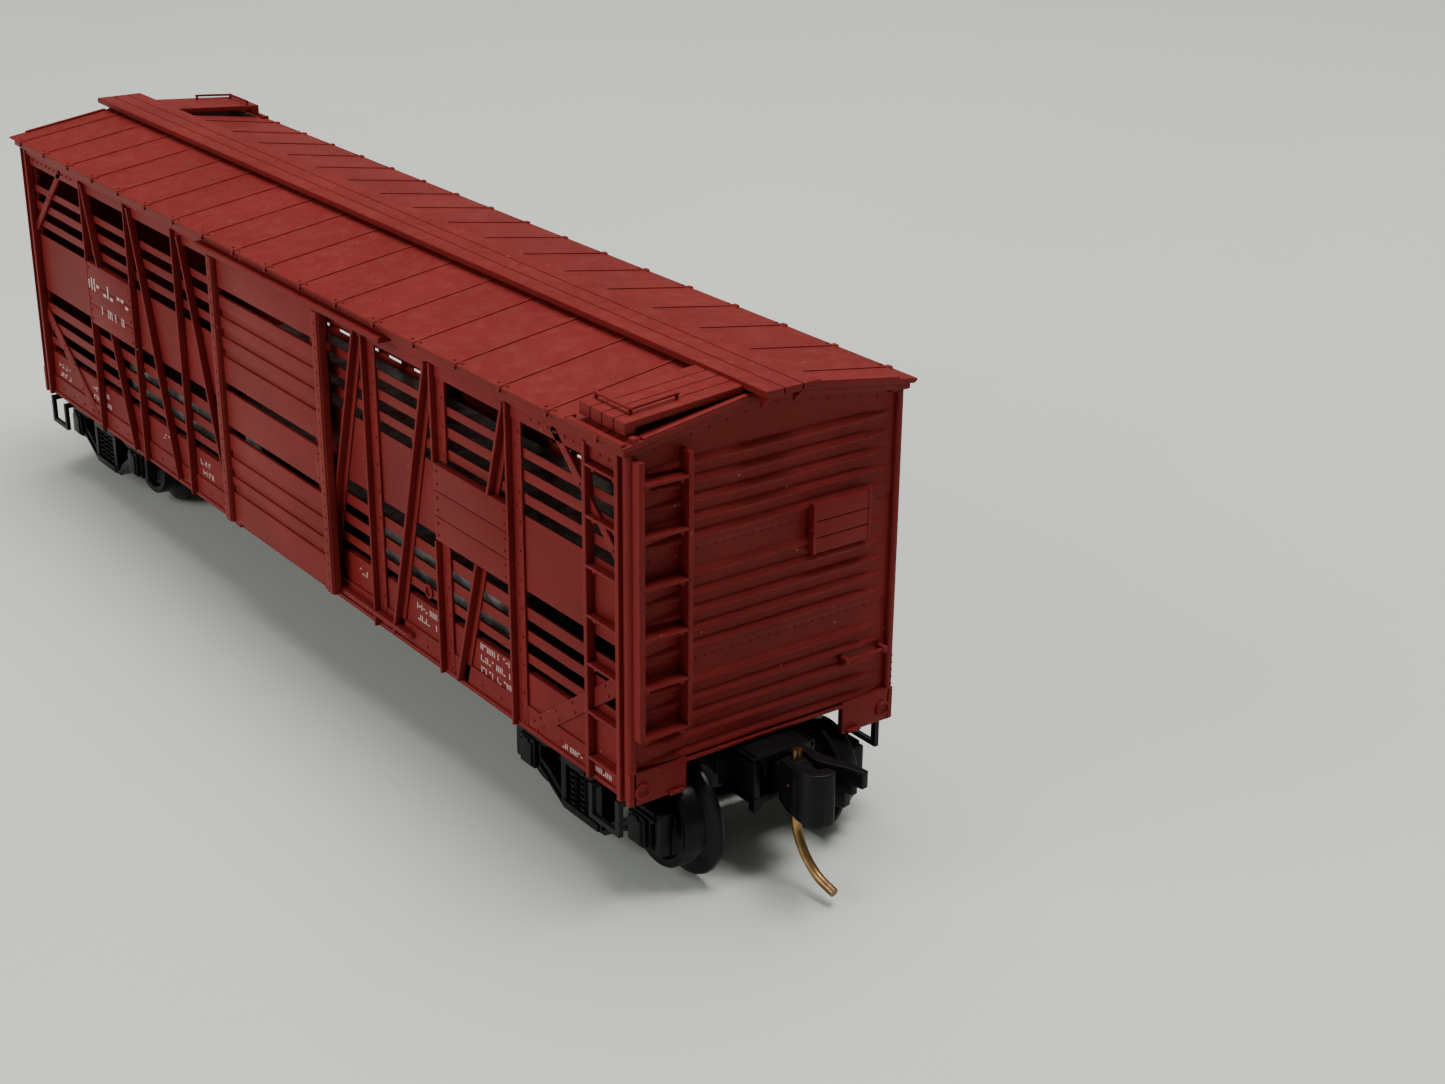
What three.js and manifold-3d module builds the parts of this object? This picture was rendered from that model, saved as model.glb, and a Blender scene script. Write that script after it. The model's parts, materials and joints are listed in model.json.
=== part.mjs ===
// Slatted stock car, model railway scale 1:160, built as separate pieces with working joints.
// Units are millimetres. +X runs to the A end, +Z is up, the wheels stand on z = 0.
// The car repeats itself under a half turn about Z, except for the hand brake on the B end.
import * as THREE from "three";
import { mergeVertices } from "three/addons/utils/BufferGeometryUtils.js";
import Module from "manifold-3d";

const wasm = await Module();
wasm.setup();

// ---- driving dimensions ----
const sillZ = 5.86; // height of the side sill's lower edge above the rail table
const bodyHalfL = 39.3; // half length over the ends
const bodyHalfW = 8.61; // half width over the posts
const wallTop = 18.79; // wall height above the sill's lower edge
const boardFace = -0.5; // slat face, measured outward from the post face
const boardBack = -0.9; // inner face of the slats beside the floor
const boardInner = -1.15; // and above it
const sideEnd = 38.45; // where a side wall stops against the end wall
const doorwayX = [-5.4, 6.4]; // doorway between its posts
const doorwayFoot = 1.5; // doorway height range above the sill's lower edge
const doorwayHead = 17.55;
const slatGaps = [[16.1, 17.55], [14.92, 15.56], [13.64, 14.29], [12.4, 13.04],
  [7.23, 8.13], [5.9, 6.49], [4.57, 5.22], [3.38, 3.97]];
const postWidth = 0.8; // door posts
const postX = [12.8, 20.5, 28.2]; // posts of the +X half, mirrored for the other half
const rungZ = [1.4, 4.0, 6.7, 9.35, 12.05, 14.7, 17.4]; // ladder rungs above the sill's lower edge
const doorX = [-6.05, 8.85]; // door leaf, closed
const doorZ = [0.68, 18.37];
const trackX = [-7.7, 16.3]; // upper track
const ledgeX = [-7.7, 17.0]; // ledge behind the door's foot
const ledgeZ = [0.75, 1.05];
const endPlate = 39.05; // face of the end sheets, the corner strips stand out to bodyHalfL
const endFoot = 1.58; // lower edge of the end between its corner tabs
const roofHalfW = 9.1;
const roofHalfL = 39.62;
const roofEave = 19.4; // top of the eave above the sill's lower edge
const roofSlope = 0.15;
const roofRibPitch = 4.4;
const boardTop = 21.18; // top of the running board
const boardThick = 0.4;
const boardHalfL = 40.95;
const lateralX = [35.1, 39.1];
const lateralEnd = 8.6;
const floorZ = [7.45, 8.25]; // underframe floor plate above the table
const weightX = 26; // half length of the ballast weight on the floor
const weightTop = 12;
const truckX = 32.3; // truck pivot from the car's centre
const axleX = 5.25; // half wheelbase
const axleZ = 3.42;
const flangeR = 3.45;
const treadR = 2.6;
const axleR = 0.6;
const wheelY = [3.8, 5.7]; // back face and front face of a wheel
const wheelFacets = 24;
const frameY = [5.95, 6.85]; // truck side frame, inner and outer face
const bolsterZ = [3.6, 5.4];
const kingpinR = 0.9;
const boxX = [4.9, 8.6]; // coupler box along the truck
const boxHalfW = 2.0;
const boxZ = [4.95, 7.25];
const pivotX = 7.2; // coupler pivot post in the box
const pivotR = 0.5;
const pinX = 9.8; // trip pin through the coupler head
const pinY = -0.2;
const pinR = 0.27;

const group = new THREE.Group();
group.name = "stock_car";

// ---- shape helpers ----
const toSolid = (geometry, matrix) => {
  const g = geometry.index ? geometry.toNonIndexed() : geometry.clone();
  g.deleteAttribute("normal");
  g.deleteAttribute("uv");
  if (matrix) g.applyMatrix4(matrix);
  const merged = mergeVertices(g, 1e-5);
  return new wasm.Manifold(new wasm.Mesh({
    numProp: 3,
    vertProperties: new Float32Array(merged.attributes.position.array),
    triVerts: new Uint32Array(merged.index.array),
  }));
};

const join = (solids) => solids.reduce((sum, solid) => sum.add(solid));
const cut = (solid, tools) => tools.reduce((left, tool) => left.subtract(tool), solid);

// A block given by its limits along X, Y and Z.
const block = (x, y, z) => toSolid(new THREE.BoxGeometry(
  Math.abs(x[1] - x[0]), Math.abs(y[1] - y[0]), Math.abs(z[1] - z[0])),
new THREE.Matrix4().makeTranslation((x[0] + x[1]) / 2, (y[0] + y[1]) / 2, (z[0] + z[1]) / 2));

// A flat plate cut to an outline; the axis says which way it is thick.
const plate = (points, axis, from, to, holes = [], bevel = null) => {
  const shape = new THREE.Shape(points.map((p) => new THREE.Vector2(p[0], p[1])));
  holes.forEach((hole) => shape.holes.push(new THREE.Path(hole.map((p) => new THREE.Vector2(p[0], p[1])))));
  const options = bevel
    ? { depth: 0.02, bevelEnabled: true, bevelThickness: bevel[0], bevelSize: bevel[1], bevelOffset: -bevel[1],
      bevelSegments: 1 }
    : { depth: to - from, bevelEnabled: false };
  const base = {
    x: new THREE.Matrix4().set(0, 0, 1, from, 1, 0, 0, 0, 0, 1, 0, 0, 0, 0, 0, 1),
    y: new THREE.Matrix4().set(1, 0, 0, 0, 0, 0, -1, to, 0, 1, 0, 0, 0, 0, 0, 1),
    z: new THREE.Matrix4().makeTranslation(0, 0, from),
  }[axis];
  return toSolid(new THREE.ExtrudeGeometry(shape, options), base);
};

// A turned piece: the profile holds [radius, height] pairs that start and end on the axis or close.
const turned = (profile, facets, matrix) => toSolid(
  new THREE.LatheGeometry(profile.map((p) => new THREE.Vector2(p[0], p[1])), facets), matrix);

const rod = (radius, from, to, facets = 16) => turned(
  [[0, from], [radius, from], [radius, to], [0, to]], facets);

const upright = new THREE.Matrix4().makeRotationX(Math.PI / 2);
const alongX = new THREE.Matrix4().makeRotationZ(-Math.PI / 2);
const at = (x, y, z, turn = new THREE.Matrix4()) => new THREE.Matrix4().makeTranslation(x, y, z).multiply(turn);
const verticalRod = (radius, x, y, z, facets = 16) => turned(
  [[0, 0], [radius, 0], [radius, z[1] - z[0]], [0, z[1] - z[0]]], facets, at(x, y, z[0], upright));

const swept = (points, radius, steps, facets) => {
  const circle = new THREE.Shape(Array.from({ length: facets }, (_, i) => {
    const angle = (2 * Math.PI * i) / facets;
    return new THREE.Vector2(radius * Math.cos(angle), radius * Math.sin(angle));
  }));
  const path = new THREE.CatmullRomCurve3(points.map((p) => new THREE.Vector3(...p)), false, "centripetal");
  return toSolid(new THREE.ExtrudeGeometry(circle, { steps, bevelEnabled: false, extrudePath: path }));
};

const addPiece = (parent, name, solid, color, roughness = 0.7, metalness = 0) => {
  const mesh = solid.getMesh();
  const geometry = new THREE.BufferGeometry();
  geometry.setAttribute("position", new THREE.BufferAttribute(new Float32Array(mesh.vertProperties), 3));
  geometry.setIndex(new THREE.BufferAttribute(new Uint32Array(mesh.triVerts), 1));
  geometry.computeVertexNormals();
  const piece = new THREE.Mesh(geometry, new THREE.MeshStandardMaterial({ color, roughness, metalness }));
  piece.name = name;
  parent.add(piece);
  return piece;
};

const red = 0x7a3230;
const doorRed = 0x7c3e38;
const roofRed = 0x8e4038;
const black = 0x1b1b1d;
const steel = 0x8a8c8e;
const bronze = 0x8a6a3c;

// ---- side wall: slats, posts, diagonals, letter boards, ladder, door track and ledge ----
// The right wall is on -Y; limits are [from, to] along X, above the sill edge, and outward.
const sideBlock = (x, z, out) => block(x, [-(bodyHalfW + out[1]), -(bodyHalfW + out[0])],
  [z[0] + sillZ, z[1] + sillZ]);
const sideStrip = (points, out) => plate(points.map((p) => [p[0], p[1] + sillZ]), "y",
  -(bodyHalfW + out[1]), -(bodyHalfW + out[0]));
const diagonal = (a, b, width, out) => sideStrip(
  [[a[0] - width / 2, a[1]], [b[0] - width / 2, b[1]], [b[0] + width / 2, b[1]], [a[0] + width / 2, a[1]]], out);

// Boards with open gaps between them, split at the doorway.
const makeSlats = () => cut(join([
  sideBlock([-sideEnd, sideEnd], [0, wallTop], [boardBack, boardFace]),
  sideBlock([-sideEnd, sideEnd], [2.8, wallTop], [boardInner, boardFace]),
]), [
  sideBlock(doorwayX, [doorwayFoot, doorwayHead], [-2, 1]),
  ...slatGaps.map((gap) => sideBlock([doorwayX[1] + postWidth, 38.1], gap, [-2, 1])),
  ...slatGaps.map((gap) => sideBlock([-38.1, doorwayX[0] - postWidth], gap, [-2, 1])),
]);

// Frame in front of the boards, standing a hair off them. The half on +X carries the ladder.
const frameBack = boardFace + 0.01;
const makeSideFrame = (side) => {
  const span = (a, b) => [side * a, side * b].sort((p, q) => p - q);
  const doorEdge = Math.abs(side > 0 ? doorwayX[1] : doorwayX[0]);
  const parts = [
    sideBlock(span(doorEdge, sideEnd), [doorwayHead, wallTop], [frameBack, -0.3]), // top chord
    sideBlock(span(doorEdge, sideEnd), [18.35, wallTop], [-0.4, -0.08]), // moulding under the eave
    sideBlock(span(doorEdge, sideEnd), [0, doorwayFoot], [frameBack, -0.4]), // side sill
    sideBlock(span(doorEdge, doorEdge + postWidth), [0.2, 18.4], [frameBack, -0.05]), // door post
    diagonal([side * 11.9, 18.1], [side * 6.9, 1.2], 0.24, [frameBack, 0]),
    diagonal([side * 19.9, 18.2], [side * 15.0, 0.4], 0.24, [frameBack, 0]),
    diagonal([side * 27.9, 18.2], [side * 22.3, 0.3], 0.24, [frameBack, 0]),
    sideBlock(span(20.5, 28.2), [8.2, 12.7], [frameBack, -0.02]), // raised letter board
    diagonal([side * 32.4, 18.0], [side * 38.2, 12.9], 0.75, [frameBack, -0.3]), // corner braces
    diagonal([side * 29.6, 0.4], [side * 38.2, 6.6], 1.3, [frameBack, -0.36]),
    sideBlock(span(38.12, sideEnd), [0, wallTop], [frameBack, 0]),
  ];
  postX.forEach((x) => parts.push(sideBlock(span(x - 0.1, x + 0.1), [0.1, 18.4], [frameBack, 0])));
  if (side > 0) {
    parts.push(sideBlock([35.3, 35.62], [0.1, 18.5], [frameBack, 0])); // ladder stile
    rungZ.forEach((z) => parts.push(sideBlock([35.5, 38.2], [z - 0.2, z], [frameBack, 0])));
  }
  return cut(join(parts), [sideBlock([ledgeX[0] - 0.01, ledgeX[1] + 0.01],
    [ledgeZ[0] - 0.01, ledgeZ[1] + 0.01], [-0.395, 0.5])]);
};

// The door slides under the track, in front of the ledge; both are carried across the doorway.
const bridge = [doorwayX[0] + 0.01, doorwayX[1] - 0.01];
const topTrack = join([
  sideBlock(bridge, [doorwayHead, wallTop], [frameBack, -0.3]),
  sideBlock(bridge, [18.42, 18.78], [frameBack, 0.1]),
  sideBlock(trackX, [18.42, 18.78], [0.02, 0.72]),
]);
const footLedge = join([
  sideBlock(bridge, [0, doorwayFoot], [frameBack, -0.4]),
  sideBlock(bridge, ledgeZ, [frameBack, 0]),
  sideBlock(ledgeX, ledgeZ, [-0.385, 0.03]),
]);
const sideSlats = makeSlats();
const ladderFrame = makeSideFrame(1);
const plainFrame = makeSideFrame(-1);

// ---- sliding door leaf ----
const makeDoor = () => {
  const boards = [doorX[0] + 0.8, doorX[1] - 0.8];
  const shallow = [14.75, 13.45, 12.15, 5.4, 4.1, 3.0].map(
    (z) => sideBlock(boards, [z - 0.25, z + 0.25], [0.15, 0.5]));
  const open = [16.1, 9.9, 7.0].map((z) => sideBlock(boards, [z - 0.25, z + 0.25], [-0.5, 0.5]));
  return join([
    cut(sideBlock(doorX, doorZ, [0.05, 0.3]), [...shallow, ...open]),
    sideBlock([doorX[0], boards[0]], doorZ, [0.05, 0.7]),
    sideBlock([boards[1], doorX[1]], doorZ, [0.05, 0.7]),
  ]);
};
const doorLeaf = makeDoor();

// ---- corrugated end with ladder, tack board and grab iron ----
const endBlock = (x, y, z) => block(x, y, [z[0] + sillZ, z[1] + sillZ]);
const sheetRibs = [17.67, 16.67, 15.7, 14.72, 13.75, 11.75, 10.7, 9.72, 8.75, 7.83, 5.83, 4.87, 3.92, 2.92, 1.97];

const makeEndWall = () => {
  const gable = [[-8.6, endFoot], [-8.6, wallTop], [-7.58, wallTop], [-7.58, 18.9], [0, 20.02],
    [7.58, 18.9], [7.58, wallTop], [8.6, wallTop], [8.6, endFoot]].map((p) => [p[0], p[1] + sillZ]);
  const parts = [plate(gable.reverse(), "x", 38.5, endPlate)];
  [-1, 1].forEach((side) => {
    parts.push(endBlock([38.9, bodyHalfL], [side * 5.1, side * bodyHalfW].sort((a, b) => a - b), [0, 2.0]));
    parts.push(endBlock([38.5, bodyHalfL], [side * 8.2, side * bodyHalfW].sort((a, b) => a - b), [0, wallTop]));
    parts.push(endBlock([39, 39.55], [side * 5.3, side * 6.3].sort((a, b) => a - b), [0.05, 0.3])); // foot step
    parts.push(turned([[0, -0.4], [0.45, -0.4], [0.45, 0.2], [0, 0.2]], 12,
      at(bodyHalfL, side * 7.9, sillZ + 0.75, alongX))); // poling pocket
  });
  parts.push(endBlock([38.5, bodyHalfL], [-5.2, 5.2], [endFoot, 1.8])); // end sill flange
  sheetRibs.forEach((z) => {
    const outline = [[-7.7, 0], [-6.3, -0.3], [6.3, -0.3], [7.7, 0], [6.3, 0.3], [-6.3, 0.3]]
      .map((p) => [p[0], p[1] + z + sillZ]);
    parts.push(plate(outline, "x", endPlate - 0.01, 0, [], [0.24, 0.16]));
  });
  parts.push(endBlock([39.45, 39.68], [4.9, 7.8], [4.35, 4.6])); // grab iron
  [[4.9, 5.15], [7.55, 7.8]].forEach((y) => parts.push(endBlock([39, 39.6], y, [4.35, 4.6])));
  return join(parts);
};
const endWall = makeEndWall();

const ladderX = [bodyHalfL + 0.02, 39.9];
const endLadder = join([
  endBlock(ladderX, [-8.35, -7.95], [3.8, 18.6]),
  endBlock(ladderX, [-5.48, -5.12], [3.8, 18.6]),
  ...rungZ.slice(1).map((z) => endBlock(ladderX, [-8.0, -5.4], [z - 0.22, z])),
]);
const tackBoard = cut(endBlock([ladderX[0], 39.62], [2.5, 6.35], [11.15, 13.95]),
  [12.05, 12.95].map((z) => endBlock([39.52, 40], [2.75, 6.1], [z - 0.05, z + 0.05])));

// ---- roof: sloped sheets, ribs with raised ends ----
const makeRoof = () => {
  const ridge = roofEave + roofSlope * roofHalfW;
  const lift = (points) => points.map((p) => [p[0], p[1] + sillZ]);
  const deep = lift([[-8.85, 18.8], [-7.6, 18.8], [-7.6, 18.92], [0, 20.05], [7.6, 18.92], [7.6, 18.8],
    [8.85, 18.8], [8.85, 19.3], [0, ridge - 0.1], [-8.85, 19.3]]);
  const sheet = lift([[-roofHalfW, 19.15], [0, ridge - 0.28], [roofHalfW, 19.15], [roofHalfW, roofEave],
    [0, ridge], [-roofHalfW, roofEave]]);
  const parts = [plate(deep, "x", -39.35, 39.35), plate(sheet, "x", -roofHalfL, roofHalfL)];
  const ribTop = lift([[-roofHalfW - 0.08, 19.2], [-roofHalfW - 0.08, roofEave + 0.09], [0, ridge + 0.009],
    [roofHalfW + 0.08, roofEave + 0.09], [roofHalfW + 0.08, 19.2], [0, ridge - 0.2]]);
  for (let x = roofRibPitch / 2; x < roofHalfL - 1; x += roofRibPitch) {
    parts.push(plate(ribTop.slice().reverse(), "x", x - 0.13, x + 0.13));
    parts.push(plate(ribTop.slice().reverse(), "x", -x - 0.13, -x + 0.13));
  }
  return join(parts);
};

// ---- running board with a platform over each ladder corner ----
const makeRunningBoard = () => {
  const top = boardTop + sillZ;
  const under = top - boardThick;
  const plankY = [[-1.7, -0.6], [-0.52, 0.52], [0.6, 1.7]];
  const parts = plankY.map((y) => block([-boardHalfL, boardHalfL], y, [under, top]));
  for (let x = -39.6; x < 40; x += 26.4) {
    parts.push(block([x - 0.3, x + 0.3], [-1.6, 1.6], [under, under + 0.2])); // cross cleats
  }
  [1, -1].forEach((side) => {
    const y = (a, b) => [side * a, side * b].sort((p, q) => p - q);
    const x = (a, b) => [side * a, side * b].sort((p, q) => p - q);
    // Planks of the corner platform fall away from the ridge and turn down at their outer ends.
    const plankTop = (d) => top - 0.23 - 0.0763 * (d - 1.65);
    const outline = [[1.65, plankTop(1.65) - 0.4], [8.0, plankTop(8.0) - 0.4], [8.0, plankTop(8.0) - 0.68],
      [lateralEnd, plankTop(lateralEnd) - 0.68], [lateralEnd, plankTop(lateralEnd)], [1.65, plankTop(1.65)]]
      .map((p) => [-side * p[0], p[1]]);
    const pitch = (lateralX[1] - lateralX[0]) / 4;
    for (let i = 0; i < 4; i += 1) {
      const span = x(lateralX[0] + i * pitch + 0.04, lateralX[0] + (i + 1) * pitch - 0.04);
      parts.push(plate(side > 0 ? outline.slice().reverse() : outline, "x", span[0], span[1]));
    }
    [2.6, 7.4].forEach((d) => {
      const z = plankTop(d) - 0.45;
      parts.push(block(x(lateralX[0] + 0.2, lateralX[1] - 0.2), y(-d, -d - 0.5), [z, z + 0.2]));
    });
    // Corner grab iron on three feet.
    const ironY = lateralEnd - 0.85;
    const level = plankTop(ironY) + 0.2;
    const across = [[5, plankTop(5) + 0.22], [5, plankTop(5) + 0.4], [ironY, level + 0.18], [ironY, level]]
      .map((p) => [-side * p[0], p[1]]);
    parts.push(block(x(35.3, 38.4), y(-ironY + 0.1, -ironY - 0.1), [level, level + 0.18]));
    parts.push(plate(side > 0 ? across.slice().reverse() : across, "x", ...x(38.2, 38.4)));
    [[35.3, ironY - 0.1, level], [38.2, ironY - 0.1, level], [38.2, 5, level + 0.2]].forEach((foot) => parts.push(
      block(x(foot[0], foot[0] + 0.2), y(-foot[1], -foot[1] - 0.2), [foot[2] - 0.4, foot[2] + 0.15])));
    // Gusset brackets under the overhanging ends.
    [-1, 1].forEach((row) => {
      const bracket = [[side * 39.7, under - 0.9], [side * 40.7, under + 0.1], [side * 39.7, under + 0.1]];
      parts.push(plate(side > 0 ? bracket : bracket.slice().reverse(), "y", row - 0.12, row + 0.12));
    });
  });
  return join(parts);
};

// ---- underframe: floor with corner stirrups, centre sill with cross bearers, bolsters ----
const makeFloor = () => {
  const parts = [block([-38.4, 38.4], [-7.66, 7.66], floorZ)];
  [-1, 1].forEach((end) => [-1, 1].forEach((side) => {
    const y = (a, b) => [side * a, side * b].sort((p, q) => p - q);
    const x = (a, b) => [end * a, end * b].sort((p, q) => p - q);
    [[35.5, 35.85], [37.95, 38.3]].forEach((leg) => {
      parts.push(block(x(leg[0], leg[1]), y(7.2, 7.6), [5.4, 7.6]));
      parts.push(block(x(leg[0], leg[1]), y(7.2, 8.6), [5.4, 5.72]));
      parts.push(block(x(leg[0], leg[1]), y(8.32, 8.6), [3.75, 5.72]));
    });
    parts.push(block(x(35.5, 38.3), y(8.32, 8.6), [3.7, 3.98]));
  }));
  return join(parts);
};
const underFloor = floorZ[0] - 0.01;
const makeUnderframe = () => join([
  block([-26, 26], [-1.3, 1.3], [6.3, underFloor]),
  ...[-22, -8, 8, 22].map((x) => block([x - 0.5, x + 0.5], [-7.5, 7.5], [6.55, underFloor])),
]);
const makeBolster = () => cut(join([
  block([-0.8, 0.8], [-7.4, 7.4], [7.05, underFloor]),
  verticalRod(1.7, 0, 0, [5.45, underFloor], 20),
]), [verticalRod(kingpinR + 0.04, 0, 0, [5, 7.2])]);

// ---- brake gear ----
const makeReservoir = () => join([
  turned([[0, -3.2], [0.9, -3.2], [1.15, -2.9], [1.15, 2.9], [0.9, 3.2], [0, 3.2]], 16, at(2.5, 4.4, 5.9, alongX)),
  block([0.6, 1.0], [4.0, 4.8], [5.9, 7.42]),
  block([4.0, 4.4], [4.0, 4.8], [5.9, 7.42]),
]);
const makeBrakeCylinder = () => join([
  turned([[0, -1.8], [1.0, -1.8], [1.0, 1.5], [0.5, 1.8], [0, 1.8]], 16, at(1.5, -4.4, 6.0, alongX)),
  block([0.6, 2.2], [-4.8, -4.0], [6.0, 7.42]),
  block([3.2, 7.0], [-4.52, -4.28], [5.9, 6.1]),
]);

const makeBrakeHousing = () => join([
  block([-39.95, -39.42], [0.7, 3.1], [21.6, 23.9]),
  turned([[0, 0], [0.25, 0], [0.25, 0.55], [0, 0.55]], 12,
    at(-39.9, 1.9, 22.9, new THREE.Matrix4().makeRotationZ(Math.PI / 2))),
  block([-41.1, -39.42], [0.2, 3.6], [15.4, 15.65]), // brake step
  block([-39.8, -39.42], [1.78, 2.02], [7.7, 21.7]), // brake rod
]);
const makeBrakeWheel = () => {
  const turn = new THREE.Matrix4().makeRotationZ(Math.PI / 2);
  const rim = turned([[1.45, -0.1], [1.7, -0.1], [1.7, 0.1], [1.45, 0.1], [1.45, -0.1]], 24,
    at(-40.75, 1.9, 22.9, turn));
  const hub = turned([[0, -0.16], [0.4, -0.16], [0.4, 0.16], [0, 0.16]], 12, at(-40.75, 1.9, 22.9, turn));
  const spokes = Array.from({ length: 5 }, (_, i) => {
    const spin = new THREE.Matrix4().makeRotationX((2 * Math.PI * i) / 5);
    return toSolid(new THREE.BoxGeometry(0.14, 0.16, 1.3),
      at(-40.75, 1.9, 22.9, spin.multiply(new THREE.Matrix4().makeTranslation(0, 0, 0.9))));
  });
  return join([rim, hub, ...spokes]);
};

// ---- truck: side frames, bolster, coupler box; local origin at the pivot on the table ----
const makeTruckFrame = () => {
  const outline = [[-7, 2.3], [-4.15, 2.3], [-3.95, 2.7], [-1.9, 1.25], [1.9, 1.25], [3.95, 2.7], [4.15, 2.3],
    [7, 2.3], [7, 4.5], [6.2, 4.95], [3.7, 4.85], [2.1, 5.4], [-2.1, 5.4], [-3.7, 4.85], [-6.2, 4.95], [-7, 4.5]];
  const windows = [
    [[-1.5, 1.95], [-1.5, 4.25], [1.5, 4.25], [1.5, 1.95]],
    [[2.1, 2.35], [2.1, 4.4], [3.5, 4.1], [3.5, 3.2]],
    [[-2.1, 2.35], [-3.5, 3.2], [-3.5, 4.1], [-2.1, 4.4]],
  ];
  const parts = [];
  [-1, 1].forEach((side) => {
    const y = (a, b) => [side * a, side * b].sort((p, q) => p - q);
    const span = y(frameY[0], frameY[1]);
    parts.push(plate(outline, "y", span[0], span[1], windows));
    parts.push(block([-1.7, 1.7], y(6.2, 7.1), [1.45, 2.0])); // spring plank seat
    [-0.95, 0, 0.95].forEach((x) => parts.push(verticalRod(0.42, x, side * 6.55, [1.9, 4.3], 6)));
    parts.push(block([-1.9, 1.9], y(5.9, 7.05), [4.2, 4.75])); // bolster end over the springs
    [-axleX, axleX].forEach((x) => {
      parts.push(block([x - 0.75, x + 0.75], y(frameY[1] - 0.1, 7.2), [2.5, 4.35])); // journal box
    });
  });
  parts.push(block([-1.15, 1.15], [-6.0, 6.0], bolsterZ));
  parts.push(verticalRod(1.7, 0, 0, bolsterZ, 20));
  parts.push(block([0, boxX[0] - 0.01], [-1.5, 1.5], [4.6, 5.35])); // tongue over the axle
  const pits = [];
  [-axleX, axleX].forEach((x) => [-1, 1].forEach((side) => {
    pits.push(turned([[0, 5.5], [axleR + 0.04, 5.5], [axleR + 0.04, 5.97], [0.06, 6.67], [0, 6.67]], 16,
      at(x, 0, axleZ, side > 0 ? new THREE.Matrix4() : new THREE.Matrix4().makeRotationX(Math.PI))));
  }));
  return cut(join(parts), [verticalRod(kingpinR + 0.07, 0, 0, [3, 6]), ...pits]);
};

// The coupler box is open downwards, where its lid closes it.
const makeCouplerBox = () => join([
  cut(block(boxX, [-boxHalfW, boxHalfW], boxZ), [block([boxX[0] + 0.45, 9], [-1.6, 1.6], [4, 6.85])]),
  verticalRod(pivotR, pivotX, 0, [4.97, 6.95], 16),
]);

const makeBoxLid = () => join([
  block([boxX[0] + 0.5, boxX[1]], [-boxHalfW, boxHalfW], [4.5, 4.93]),
  block([boxX[1] - 0.5, boxX[1]], [-boxHalfW, -boxHalfW + 0.7], [4.1, 4.6]),
  block([boxX[1] - 0.5, boxX[1]], [boxHalfW - 0.7, boxHalfW], [4.1, 4.6]),
]);

const makeKingpin = () => join([
  verticalRod(1.5, 0, 0, [3.2, 3.55], 20),
  verticalRod(kingpinR, 0, 0, [3.4, 7.15]),
]);

const makeAxle = () => turned([[0, -6.62], [0.03, -6.62], [axleR, -5.93], [axleR, 5.93], [0.03, 6.62], [0, 6.62]], 16);

// Wheel profile from the back face to the front face, closed around the bore.
const makeWheel = () => turned([[0.63, wheelY[0]], [3.2, wheelY[0]], [flangeR, wheelY[0] + 0.15],
  [flangeR - 0.1, wheelY[0] + 0.4], [treadR + 0.05, wheelY[0] + 0.7], [treadR - 0.03, wheelY[1]],
  [2.15, wheelY[1]], [1.9, wheelY[1] - 0.45], [0.63, wheelY[1] - 0.3], [0.63, wheelY[0]]], wheelFacets,
new THREE.Matrix4().makeRotationY(Math.PI / wheelFacets));

// ---- coupler halves on the pivot post ----
const shank = (z) => cut(
  join([block([pivotX, 9.4], [-0.7, 0.7], z), verticalRod(0.95, pivotX, 0, z, 16)]),
  [verticalRod(pivotR + 0.06, pivotX, 0, [z[0] - 1, z[1] + 1], 16)]);

const makeKnuckleHalf = () => {
  const hook = [[9.3, -1.0], [10.4, -1.05], [11.2, -1.65], [12.5, -1.6], [13.05, -1.0], [13.1, -0.35],
    [12.75, -0.1], [12.35, -0.25], [12.2, -0.75], [11.5, -0.8], [11.1, -0.3], [10.6, 0.2], [9.3, 0.2]];
  return cut(join([
    shank([5.1, 5.88]),
    plate(hook, "z", 5.1, 7.35),
    plate([[11.0, -1.5], [12.5, -1.6], [13.05, -1.0], [13.1, -0.35], [12.75, -0.1], [12.35, -0.25],
      [12.2, -0.75], [11.2, -0.8]], "z", 5.0, 8.0),
    block([9.3, 10.3], [-0.75, 0.2], [4.55, 7.4]),
  ]), [verticalRod(pinR + 0.035, pinX, pinY, [4, 8], 8)]);
};

const makeGuardHalf = () => join([
  cut(shank([5.94, 6.75]), [block([9.1, 9.5], [-2, 0.3], [5, 8])]),
  plate([[9.0, 0.3], [10.7, 0.3], [11.3, 0.5], [12.3, 1.05], [13.25, 1.3], [13.2, 1.75], [12.0, 1.6],
    [10.6, 1.0], [9.0, 0.8]], "z", 5.95, 7.55),
  plate([[9.6, 0.3], [10.7, 0.3], [11.3, 0.5], [12.2, 1.0], [12.1, 1.55], [10.6, 1.0], [9.6, 0.8]], "z", 5.1, 6.2),
]);

const makeTripPin = () => swept([[pinX, pinY, 7.9], [pinX, pinY, 6.6], [pinX, pinY, 5.2], [pinX, pinY, 4.2],
  [pinX + 0.25, pinY, 3.1], [pinX + 0.85, pinY + 0.05, 2.05], [pinX + 1.8, pinY + 0.15, 1.2],
  [pinX + 3.0, pinY + 0.25, 0.78]], pinR, 16, 8);

const makeSpring = () => {
  const turns = 3;
  const points = Array.from({ length: turns * 8 + 1 }, (_, i) => {
    const angle = (2 * Math.PI * i) / 8;
    return [5.5 + (0.62 * i) / (turns * 8), 0.5 * Math.cos(angle), 5.9 + 0.5 * Math.sin(angle)];
  });
  return swept(points, 0.09, turns * 10, 6);
};

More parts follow.
